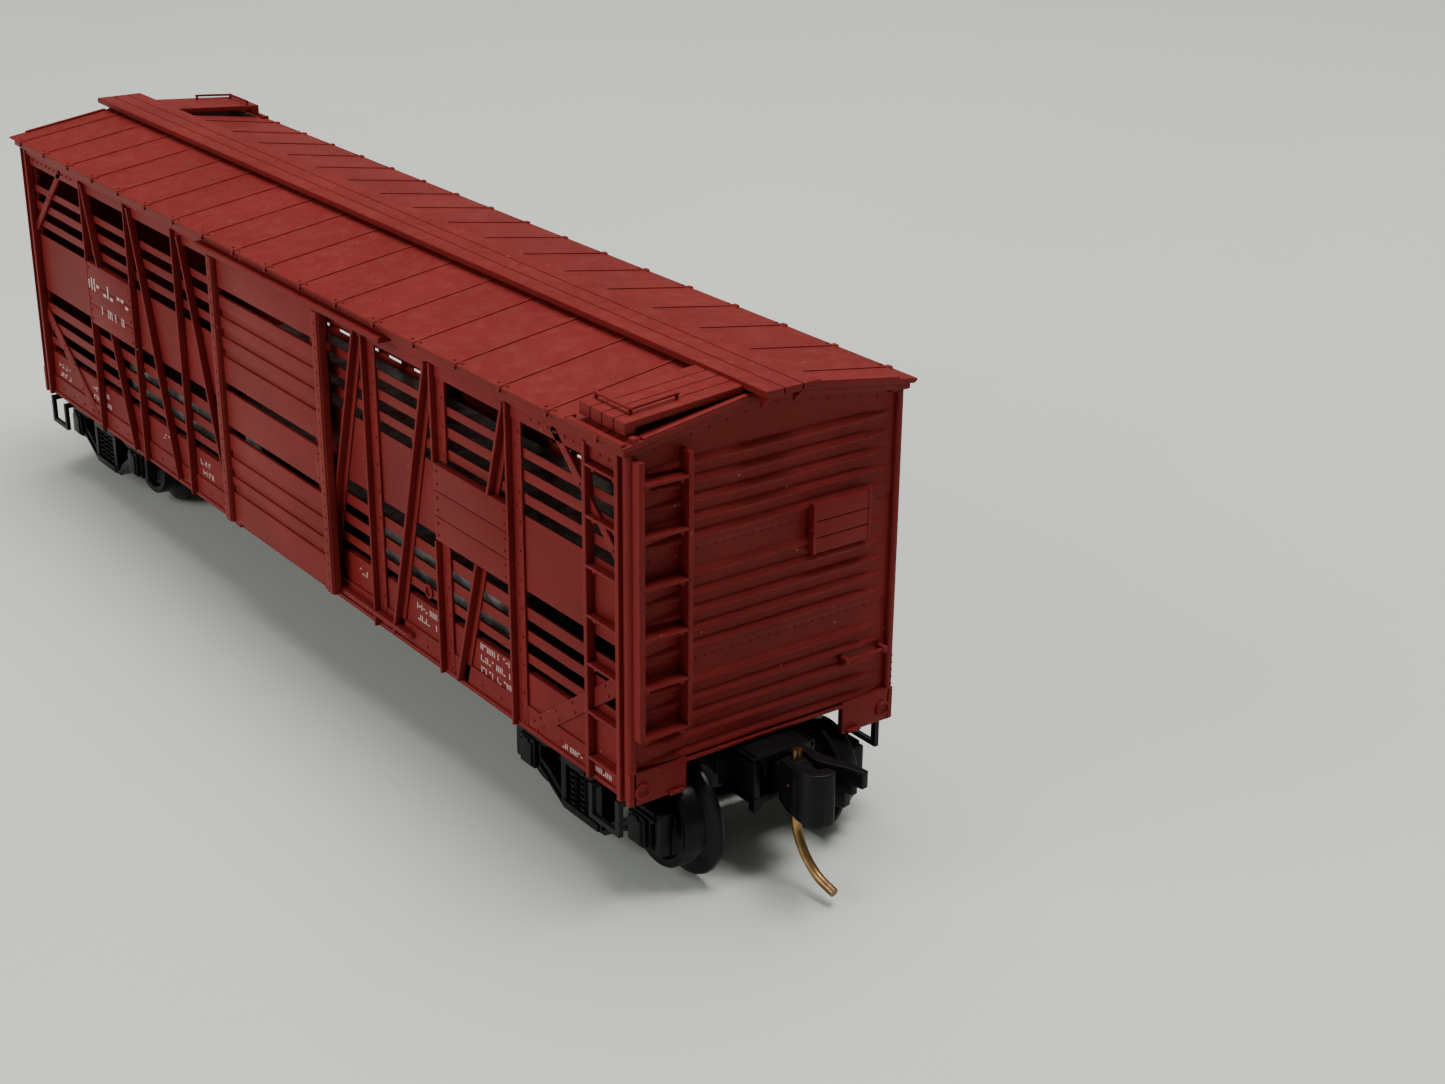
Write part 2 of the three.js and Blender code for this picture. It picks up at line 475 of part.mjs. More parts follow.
// ---- assembly ----
[["right", "a", 0], ["left", "b", Math.PI]].forEach(([side, end, turn]) => {
  addPiece(group, `side_slats_${side}`, sideSlats, red).rotation.z = turn;
  addPiece(group, `side_frame_ladder_${side}`, ladderFrame, red).rotation.z = turn;
  addPiece(group, `side_frame_plain_${side}`, plainFrame, red).rotation.z = turn;
  addPiece(group, `door_track_${side}`, topTrack, red).rotation.z = turn;
  addPiece(group, `door_ledge_${side}`, footLedge, red).rotation.z = turn;
  addPiece(group, `door_${side}`, doorLeaf, doorRed).rotation.z = turn;
  addPiece(group, `end_wall_${end}`, endWall, red).rotation.z = turn;
  addPiece(group, `end_ladder_${end}`, endLadder, red).rotation.z = turn;
  addPiece(group, `tack_board_${end}`, tackBoard, red).rotation.z = turn;
});
addPiece(group, "roof", makeRoof(), roofRed);
addPiece(group, "running_board", makeRunningBoard(), roofRed);
addPiece(group, "underframe", makeUnderframe(), black);
addPiece(group, "floor_plate", makeFloor(), black);
addPiece(group, "floor_weight", block([-weightX, weightX], [-6.9, 6.9], [8.3, weightTop]), steel, 0.4, 1);
addPiece(group, "air_reservoir", makeReservoir(), black);
addPiece(group, "brake_cylinder", makeBrakeCylinder(), black);
addPiece(group, "brake_housing", makeBrakeHousing(), red);
addPiece(group, "brake_wheel", makeBrakeWheel(), red);

const bolster = makeBolster();
const truckFrame = makeTruckFrame();
const couplerBox = makeCouplerBox();
const boxLid = makeBoxLid();
const kingpin = makeKingpin();
const axle = makeAxle();
const wheel = makeWheel();
const guardHalf = makeGuardHalf();
const knuckleHalf = makeKnuckleHalf();
const tripPin = makeTripPin();
const spring = makeSpring();

[["a", 1], ["b", -1]].forEach(([end, side]) => {
  const truck = new THREE.Group();
  truck.name = `truck_${end}`;
  truck.position.x = side * truckX;
  truck.rotation.z = side > 0 ? 0 : Math.PI;
  group.add(truck);
  addPiece(truck, `kingpin_${end}`, kingpin, black);
  addPiece(truck, `body_bolster_${end}`, bolster, black);
  addPiece(truck, `truck_frame_${end}`, truckFrame, black);
  addPiece(truck, `coupler_box_${end}`, couplerBox, black);
  addPiece(truck, `coupler_lid_${end}`, boxLid, black);
  addPiece(truck, `coupler_guard_${end}`, guardHalf, black);
  addPiece(truck, `coupler_knuckle_${end}`, knuckleHalf, black);
  addPiece(truck, `trip_pin_${end}`, tripPin, bronze, 0.35, 1);
  addPiece(truck, `coupler_spring_${end}`, spring, steel, 0.4, 1);
  [["outer", axleX], ["inner", -axleX]].forEach(([place, x]) => {
    const wheelset = new THREE.Group();
    wheelset.name = `wheelset_${end}_${place}`;
    wheelset.position.set(x, 0, axleZ);
    truck.add(wheelset);
    addPiece(wheelset, `axle_${end}_${place}`, axle, steel, 0.4, 1);
    addPiece(wheelset, `wheel_${end}_${place}_left`, wheel, black, 0.45);
    addPiece(wheelset, `wheel_${end}_${place}_right`, wheel, black, 0.45).rotation.z = Math.PI;
  });
});

export default group;
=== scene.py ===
import bpy
import bmesh
import json
import math
import random
from mathutils import Matrix, Vector

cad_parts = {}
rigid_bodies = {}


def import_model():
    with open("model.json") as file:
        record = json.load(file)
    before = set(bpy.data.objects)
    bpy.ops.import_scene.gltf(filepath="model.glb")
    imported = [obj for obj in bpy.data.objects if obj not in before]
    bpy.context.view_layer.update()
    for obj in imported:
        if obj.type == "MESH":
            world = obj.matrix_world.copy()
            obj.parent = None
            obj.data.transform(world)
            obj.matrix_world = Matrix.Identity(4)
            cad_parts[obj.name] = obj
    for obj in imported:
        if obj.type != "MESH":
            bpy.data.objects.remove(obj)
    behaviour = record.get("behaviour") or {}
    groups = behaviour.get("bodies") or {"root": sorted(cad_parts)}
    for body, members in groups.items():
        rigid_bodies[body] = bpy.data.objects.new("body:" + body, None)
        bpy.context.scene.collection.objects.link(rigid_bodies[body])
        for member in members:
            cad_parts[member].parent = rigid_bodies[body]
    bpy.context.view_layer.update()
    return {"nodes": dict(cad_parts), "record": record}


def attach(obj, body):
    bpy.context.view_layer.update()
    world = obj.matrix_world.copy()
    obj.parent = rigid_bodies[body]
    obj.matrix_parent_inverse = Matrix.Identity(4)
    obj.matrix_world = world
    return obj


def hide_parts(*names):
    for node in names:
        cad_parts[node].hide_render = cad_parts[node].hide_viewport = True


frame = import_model()
mm = 0.001
sill = 5.86  # lower edge of the side sill above the table
halfTurn = Matrix.Rotation(math.pi, 4, "Z")
dice = random.Random(160)
print("stage: frame loaded")

view = {"place": (120.44, -63.63, 61.675), "right": (0.59519, 0.80352, 0.01007),
        "down": (0.31744, -0.22359, -0.92155), "forward": (-0.73823, 0.55169, -0.38815), "lens": 55.71}
studio = {"overhead": 4.5, "window": 4.1, "grazing": 1.5, "room": 0.21, "floor": (0.58, 0.605, 0.55, 1),
          "wall": (0.75, 0.45)}  # how far off the floor starts to curve up, and the curve's radius


def makeCamera():
    data = bpy.data.cameras.new("camera")
    data.lens, data.sensor_width = view["lens"], 36
    data.clip_start, data.clip_end = 0.005, 20
    camera = bpy.data.objects.new("camera", data)
    axes = Matrix([Vector(view["right"]), -Vector(view["down"]), -Vector(view["forward"])]).transposed()
    camera.matrix_world = Matrix.Translation(Vector(view["place"]) * mm) @ axes.to_4x4()
    bpy.context.collection.objects.link(camera)
    bpy.context.scene.camera = camera


def makeLight(name, place, size, power):
    data = bpy.data.lights.new(name, "AREA")
    data.shape, data.size, data.energy = "DISK", size, power
    light = bpy.data.objects.new(name, data)
    light.location = place
    light.rotation_mode = "QUATERNION"
    light.rotation_quaternion = (Vector((0, 0, 0.01)) - Vector(place)).to_track_quat("-Z", "Y")
    bpy.context.collection.objects.link(light)


makeCamera()
makeLight("overhead", (-0.06, 0.12, 0.65), 0.6, studio["overhead"])
makeLight("window", (-0.15, -0.75, 0.4), 0.5, studio["window"])
makeLight("grazing", (0.11, 0.06, 0.52), 0.22, studio["grazing"])
room = bpy.data.worlds.new("room")
room.use_nodes = True
room.node_tree.nodes["Background"].inputs["Color"].default_value = (0.93, 0.96, 0.93, 1)
room.node_tree.nodes["Background"].inputs["Strength"].default_value = studio["room"]
bpy.context.scene.world = room


class Wire:  # a socket that takes part in sums
    def __init__(self, tree, socket):
        self.tree, self.socket = tree, socket

    def maths(self, operation, first, second):
        return self.tree.node("ShaderNodeMath", {"operation": operation}, {0: first, 1: second})

    def __add__(self, other):
        return self.maths("ADD", self, other)

    def __sub__(self, other):
        return self.maths("SUBTRACT", self, other)

    def __rsub__(self, other):
        return self.maths("SUBTRACT", other, self)

    def __mul__(self, other):
        return self.maths("MULTIPLY", self, other)

    __radd__, __rmul__ = __add__, __mul__


class Finish:  # one material's nodes
    def __init__(self, name):
        self.material = bpy.data.materials.new(name)
        self.material.use_nodes = True
        self.nodes, self.links = self.material.node_tree.nodes, self.material.node_tree.links
        self.shader = self.nodes["Principled BSDF"]

    def plug(self, value, socket):
        if isinstance(value, Wire):
            self.links.new(value.socket, socket)
        else:
            socket.default_value = value

    def node(self, kind, settings=None, values=None, out=0):
        made = self.nodes.new(kind)
        for key, value in (settings or {}).items():
            setattr(made, key, value)
        for key, value in (values or {}).items():
            self.plug(value, made.inputs[key])
        return Wire(self, made.outputs[out])

    def place(self, scale=1.0):  # Object coordinates in millimetres
        here = self.node("ShaderNodeTexCoord", out="Object")
        return self.node("ShaderNodeVectorMath", {"operation": "SCALE"}, {0: here, "Scale": 1000.0 * scale})

    def noise(self, where, scale, detail=2.0, rough=0.5):
        return self.node("ShaderNodeTexNoise", None,
                         {"Vector": where, "Scale": scale, "Detail": detail, "Roughness": rough})

    def band(self, value, low, high, to=(0.0, 1.0)):
        return self.node("ShaderNodeMapRange", {"clamp": True},
                         {"Value": value, "From Min": low, "From Max": high, "To Min": to[0], "To Max": to[1]})

    def blend(self, factor, first, second):
        return self.node("ShaderNodeMix", {"data_type": "RGBA"}, {0: factor, 6: first, 7: second}, out=2)

    def facing(self, axis):  # how far the surface looks along an axis
        normal = self.node("ShaderNodeNewGeometry", out="Normal")
        return self.node("ShaderNodeSeparateXYZ", None, {0: normal}, out=axis)

    def bump(self, height, strength, distance):
        return self.node("ShaderNodeBump", None, {"Height": height, "Strength": strength, "Distance": distance})

    def done(self, **sockets):
        for key, value in sockets.items():
            self.plug(value, self.shader.inputs[key.replace("_", " ")])
        return self.material


plastics = {  # colour in the light, colour in the shaded patches, roughness, grain, dust
    "bodyRed": ((0.180, 0.0130, 0.0125, 1), (0.142, 0.0090, 0.0085, 1), 0.55, 0.22, 0.06),
    "doorRed": ((0.200, 0.0200, 0.0180, 1), (0.158, 0.0130, 0.0115, 1), 0.56, 0.22, 0.06),
    "roofRed": ((0.162, 0.0120, 0.0108, 1), (0.136, 0.0090, 0.0080, 1), 0.52, 0.20, 0.07),
    "frameBlack": ((0.012, 0.012, 0.013, 1), (0.007, 0.007, 0.008, 1), 0.48, 0.25, 0.05),
    "truckBlack": ((0.006, 0.006, 0.007, 1), (0.003, 0.003, 0.004, 1), 0.38, 0.20, 0.015),
    "wheelBlack": ((0.005, 0.005, 0.006, 1), (0.003, 0.003, 0.004, 1), 0.30, 0.04, 0.010),
}
dustColour = (0.34, 0.17, 0.14, 1)


def mouldedPlastic(name):
    light, dark, rough, grain, dust = plastics[name]
    m = Finish(name)
    here = m.place()
    patches = m.band(m.noise(here, 0.16, 3.0), 0.35, 0.68)
    fine = m.noise(here, 7.0, 3.0, 0.6)
    settled = m.band(m.noise(here, 1.1, 4.0, 0.65), 0.45, 0.75) * m.band(m.facing("Z"), 0.2, 0.9) * dust
    cells = m.node("ShaderNodeTexVoronoi", {"feature": "F1"}, {"Vector": here, "Scale": 0.85}, out="Distance")
    specks = m.band(cells, 0.045, 0.07, (0.55, 0.0)) * m.band(m.noise(here, 0.45), 0.52, 0.56)
    colour = m.blend(patches, dark, light)
    colour = m.blend(m.band(fine, 0.35, 0.7, (0.0, 0.16)), colour, dark)
    colour = m.blend(settled + specks, colour, dustColour)
    surface = m.band(fine, 0.2, 0.8, (rough - 0.07, rough + 0.07)) + settled * 0.6
    height = fine * 0.7 + m.noise(here, 1.6) * 0.5
    m.shader.inputs["Specular IOR Level"].default_value = 0.13
    return m.done(Base_Color=colour, Roughness=surface, Normal=m.bump(height, grain, 0.00004))


def wornMetal(name, light, dark, rough, streak):
    m = Finish(name)
    here = m.place()
    drawn = m.node("ShaderNodeMapping", None, {"Vector": here, "Scale": streak})
    lines = m.noise(drawn, 3.0, 4.0, 0.6)
    stain = m.band(m.noise(here, 0.9, 3.0), 0.4, 0.65)
    colour = m.blend(stain, dark, light)
    colour = m.blend(m.band(lines, 0.45, 0.75, (0.0, 0.45)), colour, dark)
    surface = m.band(lines, 0.3, 0.7, (rough - 0.08, rough + 0.1))
    return m.done(Base_Color=colour, Metallic=1.0, Roughness=surface, Normal=m.bump(lines, 0.2, 0.00002))


def stencilPaint():
    m = Finish("stencilPaint")
    here = m.place()
    gone = m.band(m.noise(here, 4.0, 3.0, 0.7), 0.58, 0.68)
    colour = m.blend(gone, (0.50, 0.38, 0.36, 1), plastics["bodyRed"][0])
    return m.done(Base_Color=colour, Roughness=m.band(gone, 0, 1, (0.6, 0.5)))


finishes = {name: mouldedPlastic(name) for name in plastics}
finishes["stencilPaint"] = stencilPaint()
finishes["bronze"] = wornMetal("bronze", (0.42, 0.25, 0.10, 1), (0.16, 0.09, 0.04, 1), 0.34, (2.0, 2.0, 0.4))
finishes["steel"] = wornMetal("steel", (0.42, 0.42, 0.43, 1), (0.20, 0.19, 0.18, 1), 0.36, (0.3, 2.0, 2.0))
slotFinish = {"body_red": "bodyRed", "door_red": "doorRed", "roof_red": "roofRed", "frame_black": "frameBlack",
              "truck_black": "truckBlack", "wheel_black": "wheelBlack", "axle_steel": "steel",
              "weight_steel": "steel", "spring_steel": "steel", "pin_bronze": "bronze"}
for part in frame["record"]["subparts"]:
    node = frame["nodes"][part["node"]]
    for holder in node.material_slots:
        holder.material = finishes[slotFinish[part["material_slot"]]]
print("stage: finishes made")


def handOver(name, data, body, nodes=()):  # one finished piece
    piece = bpy.data.objects.new(name, data)
    bpy.context.collection.objects.link(piece)
    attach(piece, body)
    if nodes:
        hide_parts(*nodes)
    return piece


class Shape:  # gathers solids given in millimetres and hands over one mesh
    def __init__(self, name, finish):
        self.name, self.mesh, self.names = name, bmesh.new(), [finish]

    def take(self, part, edge=0.04, steps=2, finish=None, turn=None):
        if edge:
            sharp = [e for e in part.edges if len(e.link_faces) == 2 and e.calc_face_angle(0) > 0.6]
            bmesh.ops.bevel(part, geom=sharp, offset=edge, segments=steps, profile=0.6, affect="EDGES",
                            clamp_overlap=True)
        name = finish or self.names[0]
        if name not in self.names:
            self.names.append(name)
        for face in part.faces:
            face.material_index = self.names.index(name)
        if turn:
            bmesh.ops.transform(part, matrix=turn, verts=part.verts)
        loose = bpy.data.meshes.new("loose")
        part.to_mesh(loose)
        self.mesh.from_mesh(loose)
        bpy.data.meshes.remove(loose)
        part.free()

    def block(self, x, y, z, edge=0.04, steps=2, finish=None, turn=None):
        part = bmesh.new()
        size = [abs(v[1] - v[0]) for v in (x, y, z)]
        middle = Matrix.Translation([(v[0] + v[1]) / 2 for v in (x, y, z)])
        bmesh.ops.create_cube(part, size=1, matrix=middle @ Matrix.Diagonal((*size, 1)))
        self.take(part, min(edge, min(size) * 0.45), steps, finish, turn)

    def prism(self, outline, axis, low, high, edge=0.04, steps=2, finish=None, turn=None):
        part = bmesh.new()
        lift = {"x": lambda a, b, t: (t, a, b), "y": lambda a, b, t: (a, t, b),
                "z": lambda a, b, t: (a, b, t)}[axis]
        rings = [[part.verts.new(lift(a, b, t)) for a, b in outline] for t in (low, high)]
        part.faces.new(rings[0])
        part.faces.new(rings[1])
        for i in range(len(outline)):
            j = (i + 1) % len(outline)
            part.faces.new((rings[0][i], rings[0][j], rings[1][j], rings[1][i]))
        bmesh.ops.recalc_face_normals(part, faces=part.faces)
        self.take(part, edge, steps, finish, turn)

    def strip(self, points, width, low, high, edge=0.04, finish=None, turn=None):  # a bar along a path in XZ
        left, right = [], []
        for i, p in enumerate(points):
            a, b = points[max(i - 1, 0)], points[min(i + 1, len(points) - 1)]
            along = (Vector(b) - Vector(a)).normalized()
            across = Vector((-along.y, along.x)) * width / 2
            left.append(tuple(Vector(p) + across))
            right.append(tuple(Vector(p) - across))
        self.prism(left + right[::-1], "y", low, high, edge, 2, finish, turn)

    def lathe(self, profile, around, sides=32, finish=None, turn=None):  # [radius, distance along +Z of around]
        part = bmesh.new()
        rings = []
        for radius, along in profile:
            if radius < 1e-6:
                rings.append([part.verts.new((0, 0, along))])
                continue
            rings.append([part.verts.new((radius * math.cos(2 * math.pi * k / sides),
                                          radius * math.sin(2 * math.pi * k / sides), along))
                          for k in range(sides)])
        closed = profile[0] == profile[-1]
        if closed:
            bmesh.ops.delete(part, geom=rings.pop(), context="VERTS")
        pairs = list(zip(rings, rings[1:])) + ([(rings[-1], rings[0])] if closed else [])
        for a, b in pairs:
            for k in range(sides):
                j = (k + 1) % sides
                loop = [a[k % len(a)], a[j % len(a)], b[j % len(b)], b[k % len(b)]]
                loop = list(dict.fromkeys(loop))
                if len(loop) > 2:
                    part.faces.new(loop)
        bmesh.ops.recalc_face_normals(part, faces=part.faces)
        bmesh.ops.transform(part, matrix=around, verts=part.verts)
        self.take(part, 0, 1, finish, turn)

    def tube(self, points, radius, sides=12, finish=None, turn=None):
        part = bmesh.new()
        points = [Vector(p) for p in points]
        rings = []
        side = None
        for i, p in enumerate(points):
            along = (points[min(i + 1, len(points) - 1)] - points[max(i - 1, 0)]).normalized()
            side = along.orthogonal() if side is None else side - along * side.dot(along)
            side = side.normalized()
            up = along.cross(side)
            rings.append([part.verts.new(p + radius * (side * math.cos(2 * math.pi * k / sides)
                                                       + up * math.sin(2 * math.pi * k / sides)))
                          for k in range(sides)])
        for a, b in zip(rings, rings[1:]):
            for k in range(sides):
                part.faces.new((a[k], a[(k + 1) % sides], b[(k + 1) % sides], b[k]))
        part.faces.new(rings[0])
        part.faces.new(rings[-1])
        bmesh.ops.recalc_face_normals(part, faces=part.faces)
        self.take(part, 0, 1, finish, turn)

    def done(self, body, slot, nodes=(), crease=35):
        bmesh.ops.scale(self.mesh, vec=(mm, mm, mm), verts=self.mesh.verts)
        data = bpy.data.meshes.new(self.name)
        self.mesh.to_mesh(data)
        self.mesh.free()
        for name in self.names:
            data.materials.append(finishes[name])
        for face in data.polygons:
            face.use_smooth = True
        data.set_sharp_from_angle(angle=math.radians(crease))
        handOver(self.name, data, body, nodes)


def arc(centre, radius, start, end, steps):
    return [(centre[0] + radius * math.cos(math.radians(start + (end - start) * k / steps)),
             centre[1] + radius * math.sin(math.radians(start + (end - start) * k / steps)))
            for k in range(steps + 1)]


def smooth(points, steps=6):  # a soft curve through the points
    points = [Vector(p) for p in points]
    ends = [2 * points[0] - points[1], *points, 2 * points[-1] - points[-2]]
    made = []
    for a, b, c, d in zip(ends, ends[1:], ends[2:], ends[3:]):
        for k in range(steps):
            t = k / steps
            made.append(0.5 * (2 * b + (c - a) * t + (2 * a - 5 * b + 4 * c - d) * t * t
                               + (3 * b - 3 * c + d - a) * t * t * t))
    return made + [points[-1]]


# Geometry Nodes: one small tree for rivet heads, one for bars and one for coil springs.
class Growth:
    def __init__(self, name, inputs):
        self.tree = bpy.data.node_groups.new(name, "GeometryNodeTree")
        self.ids = {}
        self.tree.interface.new_socket("Geometry", in_out="INPUT", socket_type="NodeSocketGeometry")
        for label, kind in inputs.items():
            socket = self.tree.interface.new_socket(label, in_out="INPUT", socket_type=kind)
            self.ids[label] = socket.identifier
        self.tree.interface.new_socket("Geometry", in_out="OUTPUT", socket_type="NodeSocketGeometry")
        self.given = self.tree.nodes.new("NodeGroupInput")

    def node(self, kind, settings=None, values=None):
        made = self.tree.nodes.new(kind)
        for key, value in (settings or {}).items():
            setattr(made, key, value)
        for key, value in (values or {}).items():
            if hasattr(value, "node"):
                self.tree.links.new(value, made.inputs[key])
            else:
                made.inputs[key].default_value = value
        return made

    def attribute(self, name):
        named = self.node("GeometryNodeInputNamedAttribute", {"data_type": "FLOAT_VECTOR"}, {"Name": name})
        return named.outputs[0]

    def close(self, shape, turn, scale):
        spread = self.node("GeometryNodeInstanceOnPoints", None, {
            "Points": self.given.outputs["Geometry"], "Instance": shape, "Rotation": turn, "Scale": scale})
        real = self.node("GeometryNodeRealizeInstances", None, {"Geometry": spread.outputs[0]})
        coat = self.node("GeometryNodeSetMaterial", None, {
            "Geometry": real.outputs[0], "Material": self.given.outputs["Material"]})
        self.node("NodeGroupOutput", None, {"Geometry": coat.outputs[0]})

    def grow(self, name, points, attributes, values, body, slot, turn=None):
        data = bpy.data.meshes.new(name)
        data.from_pydata([[c * mm for c in p] for p in points], [], [])
        for label, rows in attributes.items():
            holder = data.attributes.new(label, "FLOAT_VECTOR", "POINT")
            holder.data.foreach_set("vector", [c for row in rows for c in row])
        seedPiece = bpy.data.objects.new(name + "_seed", data)
        bpy.context.collection.objects.link(seedPiece)
        modifier = seedPiece.modifiers.new("grow", "NODES")
        modifier.node_group = self.tree
        for label, value in values.items():
            modifier[self.ids[label]] = value
        graph = bpy.context.evaluated_depsgraph_get()
        grown = bpy.data.meshes.new_from_object(seedPiece.evaluated_get(graph))
        bpy.data.objects.remove(seedPiece)
        if turn:
            grown.transform(turn)
        grown.name = name
        return handOver(name, grown, body)


rivetGrowth = Growth("rivetHeads", {"Radius": "NodeSocketFloat", "Height": "NodeSocketFloat",
                                    "Seed": "NodeSocketInt", "Material": "NodeSocketMaterial"})
head = rivetGrowth.node("GeometryNodeMeshCone", None, {
    "Vertices": 8, "Radius Bottom": rivetGrowth.given.outputs["Radius"],
    "Depth": rivetGrowth.given.outputs["Height"]})
narrow = rivetGrowth.node("ShaderNodeMath", {"operation": "MULTIPLY"},
                          {0: rivetGrowth.given.outputs["Radius"], 1: 0.55})
rivetGrowth.tree.links.new(narrow.outputs[0], head.inputs["Radius Top"])
rounded = rivetGrowth.node("GeometryNodeSetShadeSmooth", None,
                           {"Geometry": head.outputs[0], "Shade Smooth": True})
facing = rivetGrowth.node("FunctionNodeAlignRotationToVector", {"axis": "Z"},
                          {"Vector": rivetGrowth.attribute("outward")})
spread = rivetGrowth.node("FunctionNodeRandomValue", {"data_type": "FLOAT"},
                          {2: 0.88, 3: 1.06, "Seed": rivetGrowth.given.outputs["Seed"]})
rivetGrowth.close(rounded.outputs[0], facing.outputs[0], spread.outputs[1])

barGrowth = Growth("bars", {"Seed": "NodeSocketInt", "Material": "NodeSocketMaterial"})
bar = barGrowth.node("GeometryNodeMeshCube", None, {"Size": (1, 1, 1)})
lean = barGrowth.node("FunctionNodeEulerToRotation", None, {"Euler": barGrowth.attribute("lean")})
barGrowth.close(bar.outputs[0], lean.outputs[0], barGrowth.attribute("size"))

coilGrowth = Growth("coils", {"Radius": "NodeSocketFloat", "Wire": "NodeSocketFloat",
                              "Height": "NodeSocketFloat", "Turns": "NodeSocketFloat",
                              "Material": "NodeSocketMaterial"})
helix = coilGrowth.node("GeometryNodeCurveSpiral", None, {
    "Resolution": 14, "Rotations": coilGrowth.given.outputs["Turns"],
    "Start Radius": coilGrowth.given.outputs["Radius"], "End Radius": coilGrowth.given.outputs["Radius"],
    "Height": coilGrowth.given.outputs["Height"]})
gauge = coilGrowth.node("GeometryNodeCurvePrimitiveCircle", None, {
    "Resolution": 7, "Radius": coilGrowth.given.outputs["Wire"]})
wire = coilGrowth.node("GeometryNodeCurveToMesh", None, {
    "Curve": helix.outputs[0], "Profile Curve": gauge.outputs[0], "Fill Caps": True})
coilFacing = coilGrowth.node("FunctionNodeAlignRotationToVector", {"axis": "Z"},
                             {"Vector": coilGrowth.attribute("outward")})
coilGrowth.close(wire.outputs[0], coilFacing.outputs[0], (1, 1, 1))


class Rivets:  # collects heads, then grows them as one piece
    def __init__(self, name, radius=0.11, height=0.09, seed=3):
        self.name, self.radius, self.height, self.seed = name, radius, height, seed
        self.points, self.outward = [], []

    def put(self, point, outward):
        out = Vector(outward).normalized()
        self.points.append(Vector(point) - out * self.height * 0.2)
        self.outward.append(out)

    def row(self, start, end, pitch, outward):
        a, b = Vector(start), Vector(end)
        count = max(1, round((b - a).length / pitch))
        for k in range(count + 1):
            self.put(a.lerp(b, k / count), outward)

    def done(self, body, slot, finish, turn=None):
        return rivetGrowth.grow(self.name, self.points, {"outward": self.outward}, {
            "Radius": self.radius * mm, "Height": self.height * mm, "Seed": self.seed,
            "Material": finishes[finish]}, body, slot, turn)


print("stage: tools ready")

side = {"face": 8.61, "end": 38.45, "boards": (-0.9, -0.5), "inner": -1.15, "doorway": (-5.4, 6.4), "top": 18.79,
        "gaps": [(16.1, 17.55), (14.92, 15.56), (13.64, 14.29), (12.4, 13.04), (7.23, 8.13), (5.9, 6.49),
                 (4.57, 5.22), (3.38, 3.97)],
        "posts": (12.8, 20.5, 28.2), "rungs": (1.4, 4.0, 6.7, 9.35, 12.05, 14.7, 17.4),
        "track": (-7.7, 16.3), "ledge": (-7.7, 17.0), "batten": 0.8}
timbers = {"back": -0.49, "planks": ((8.2, 9.62), (9.66, 11.12), (11.16, 12.7)), "plankEnds": (20.5, 28.25),
           "diagonals": (((11.9, 18.1), (6.9, 1.2)), ((19.9, 18.2), (15.0, 0.4)), ((27.9, 18.2), (22.3, 0.3))),
           "boardLimits": (12.6, 8.25), "brace": ((32.2, 18.2), (35.0, 15.75), (38.2, 12.8)),
           "gusset": ((29.5, 0.3), (38.2, 6.45)), "postHead": 0.82, "rings": ((18.0, 13.1), (18.7, 4.3))}


def outwards(z, out):  # limits along Y and Z of something on the right-hand side
    return (-(side["face"] + out[1]), -(side["face"] + out[0])), (z[0] + sill, z[1] + sill)


def makeSideBoards(hand, turn):
    s = Shape(f"side_boards_{hand}", "bodyRed")
    edges = [0.0] + sorted([v for gap in side["gaps"] for v in gap]) + [side["top"]]
    for low, high in zip(edges[::2], edges[1::2]):
        for x in ((-side["end"], side["doorway"][0]), (side["doorway"][1], side["end"])):
            if low < 3:
                y, z = outwards((low, high), side["boards"])
                s.block(x, y, z, 0.05, 2, turn=turn)
                continue
            y, z = outwards((low, high), (side["inner"], side["boards"][1]))
            fall = min(0.42, 0.75 * (high - low))  # the upper face drops away inwards
            plank = [(y[0], z[0]), (y[0], z[1]), (y[1], z[1] - fall), (y[1], z[0])]
            s.prism(plank, "x", *x, 0.05, 2, None, turn)
    (low, high), wide = side["doorway"], side["batten"]
    for x in ((low - wide, low), (high, high + wide), (-38.4, -38.0), (38.0, 38.4)):  # battens tie the boards
        y, z = outwards((0.1, 18.7), (-0.89, -0.56))
        s.block(x, y, z, turn=turn)
    for z in ((0, 1.5), (17.5, 18.79)):  # sill and plate behind the door
        y, z = outwards(z, (-0.89, -0.52))
        s.block((-6, 7), y, z, turn=turn)
    s.done("car", "body_red", [f"side_slats_{hand}"])


def legs(way, x, width):
    return (x, x + width) if way > 0 else (-x - width, -x)


